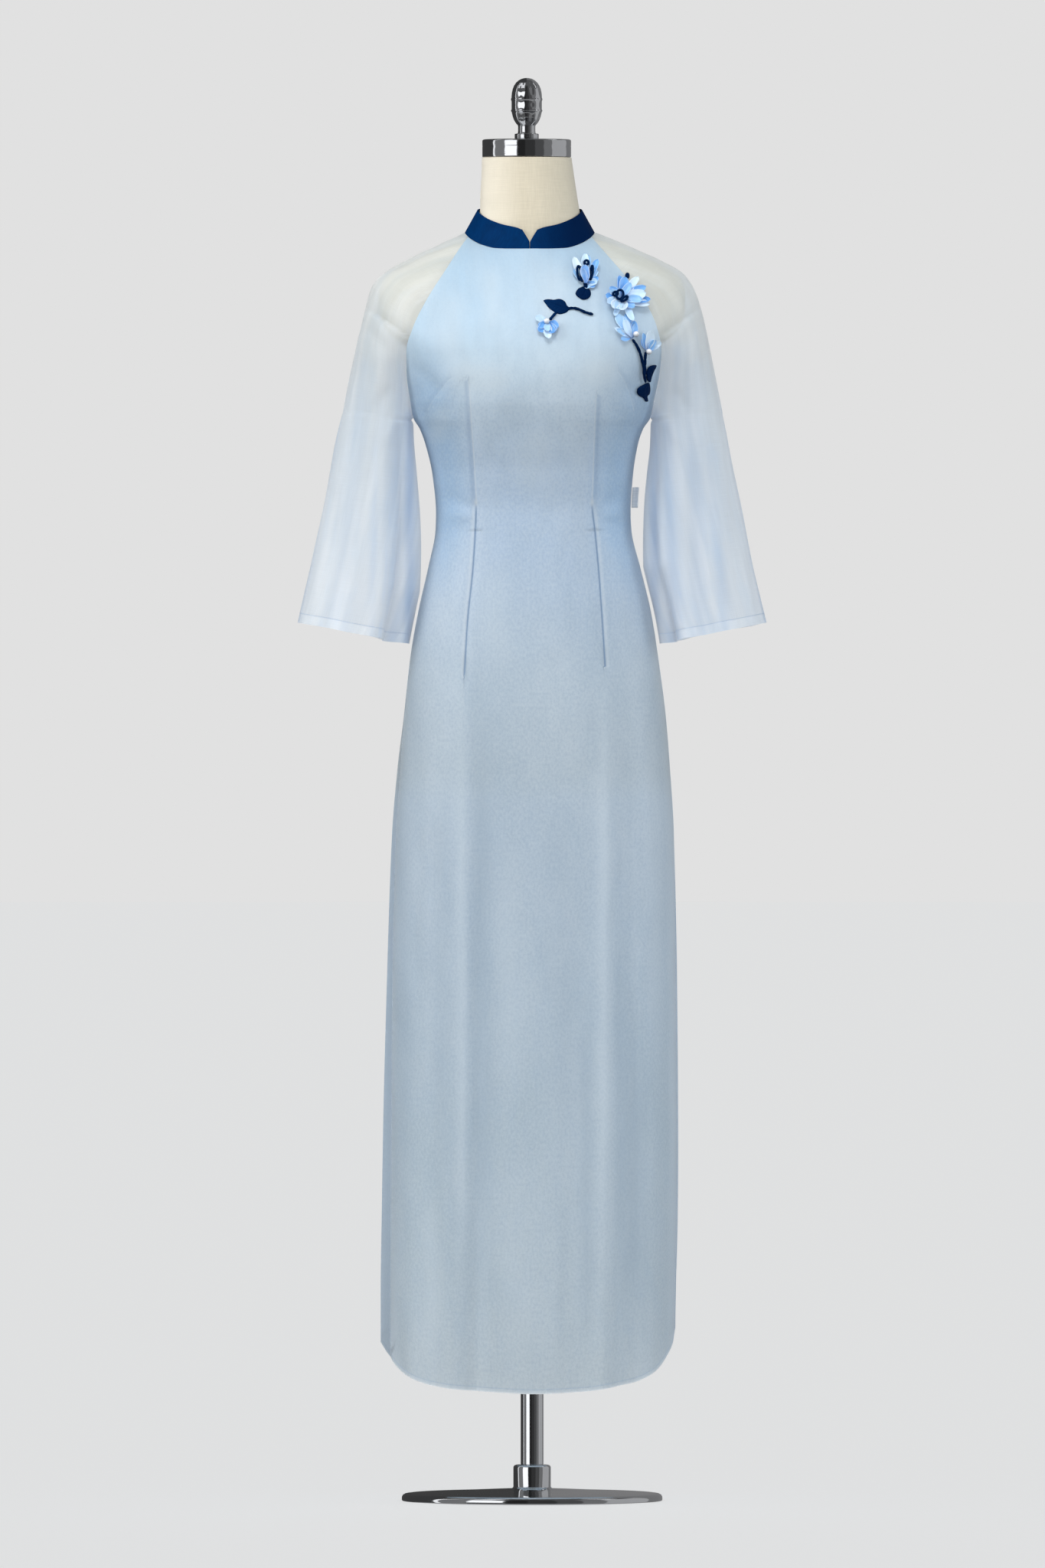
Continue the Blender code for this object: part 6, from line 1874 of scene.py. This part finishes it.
CARDS = [
    Card(-180, 180, -90, 90, 0.10),
    Card(-180, 180, -90, -32, 0.30),
    Card(-180, -98, -32, 90, 0.05),
    Card(-97, -92, -30, 60, 1.1),
    Card(-91, -61, -32, 40, 0.20),
    Card(-59, -26, -14, 26, 1.35),
    Card(-24, -4, -32, 50, 0.02),
    Card(-3, 8, -32, 60, 0.04),
    Card(8, 22, -32, 50, 0.04),
    Card(22, 46, -32, 40, 0.08),
    Card(46, 70, -32, 40, 0.18),
    Card(70, 126, -32, 30, 0.42),
    Card(84, 100, 34, 62, 0.9),
    Card(-70, -44, 38, 70, 0.9),
    Card(126, 180, -32, 60, 0.20),
]
DOME_RADIUS = 9.0
DOME_CENTRE_HEIGHT = 1.2
AMBIENT = 0.30


def make_reflection_dome():
    """The cards and windows as the faces of a dome that only reflections see."""
    mesh = bpy.data.meshes.new("reflection_dome")
    dome = bmesh.new()
    bmesh.ops.create_uvsphere(dome, u_segments=180, v_segments=90, radius=DOME_RADIUS)
    bmesh.ops.translate(dome, verts=dome.verts, vec=(0, 0, DOME_CENTRE_HEIGHT))
    dome.to_mesh(mesh)
    dome.free()
    mesh.flip_normals()
    shine = mesh.attributes.new("shine", "FLOAT_COLOR", "FACE")
    for face in mesh.polygons:
        way = face.center - Vector((0, 0, DOME_CENTRE_HEIGHT))
        azimuth = math.degrees(math.atan2(way.x, -way.y))
        elevation = math.degrees(math.asin(way.z / way.length))
        bright = 0.1
        for card in CARDS:
            if card.left <= azimuth <= card.right and card.low <= elevation <= card.high:
                bright = card.bright
        shine.data[face.index].color = (bright, bright, bright * 1.02, 1)
    piece = bpy.data.objects.new("reflection_dome", mesh)
    bpy.context.scene.collection.objects.link(piece)
    mesh.materials.append(glow_finish("studio_cards", "shine"))
    piece.visible_camera = False
    piece.visible_diffuse = False
    piece.visible_shadow = False
    piece.visible_transmission = False
    piece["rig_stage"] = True


def add_light(name, azimuth, elevation, distance, width, height, bright, colour, lit):
    """A softbox that looks at the chest; bright is what it gives a white face turned to it."""
    turn, rise = math.radians(azimuth), math.radians(elevation)
    target = Vector((0, 0, 1.0))
    way = Vector((math.sin(turn) * math.cos(rise), -math.cos(turn) * math.cos(rise), math.sin(rise)))
    light = bpy.data.lights.new(name, "AREA")
    light.shape = "RECTANGLE"
    light.size = width
    light.size_y = height
    light.energy = bright * (math.pi * distance) ** 2
    light.color = colour
    lamp = bpy.data.objects.new(name, light)
    bpy.context.scene.collection.objects.link(lamp)
    lamp.location = target + way * distance
    lamp.rotation_euler = way.to_track_quat("Z", "Y").to_euler()
    lamp.light_linking.receiver_collection = lit


def make_light():
    lit = bpy.data.collections.new("lit_cloth")
    for piece in bpy.context.scene.objects:
        if piece.type == "MESH" and not piece.get("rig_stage") and piece.data.materials[:1] != [CHROME]:
            lit.objects.link(piece)
    add_light("key_left", -66, 22, 6.0, 2.4, 3.6, 0.50, (1.0, 0.99, 0.97), lit)
    add_light("front_top", -8, 56, 6.0, 3.0, 2.0, 0.52, (0.97, 0.99, 1.0), lit)
    add_light("front_fill", 12, 6, 8.0, 3.0, 3.0, 0.25, (1.0, 1.0, 1.0), lit)
    add_light("right_fill", 74, 12, 6.0, 1.6, 3.0, 0.26, (0.92, 0.96, 1.0), lit)
    world = bpy.data.worlds.new("studio")
    bpy.context.scene.world = world
    world.use_nodes = True
    tree = world.node_tree
    ambient = tree.nodes["Background"]
    feed(tree, ambient.inputs["Color"], (0.92, 0.97, 1.0))
    feed(tree, ambient.inputs["Strength"], AMBIENT)
    seen = add_node(tree, "ShaderNodeBackground", Color=BACKDROP)
    path = add_node(tree, "ShaderNodeLightPath")
    is_seen = path.outputs["Is Camera Ray"]
    mix = add_node(tree, "ShaderNodeMixShader", slot0=is_seen, slot1=ambient.outputs[0],
                   slot2=seen.outputs[0])
    feed(tree, tree.nodes["World Output"].inputs["Surface"], mix.outputs[0])


make_floor()
make_reflection_dome()
make_light()

CAMERA_DISTANCE = 30.0
CAMERA_HEIGHT = 1.05
FRAME_HEIGHT = 1.925
FRAME_CENTRE = (-0.01175, 0.0, 0.8798)
camera_data = bpy.data.cameras.new("camera")
camera = bpy.data.objects.new("camera", camera_data)
bpy.context.scene.collection.objects.link(camera)
camera.location = (FRAME_CENTRE[0], -CAMERA_DISTANCE, CAMERA_HEIGHT)
aim = Vector(FRAME_CENTRE) - camera.location
camera.rotation_euler = aim.to_track_quat("-Z", "Y").to_euler()
camera_data.sensor_width = 36
camera_data.lens = 36 * aim.length / FRAME_HEIGHT
camera_data.clip_end = 120
bpy.context.scene.camera = camera
bpy.context.scene.view_settings.view_transform = "Standard"
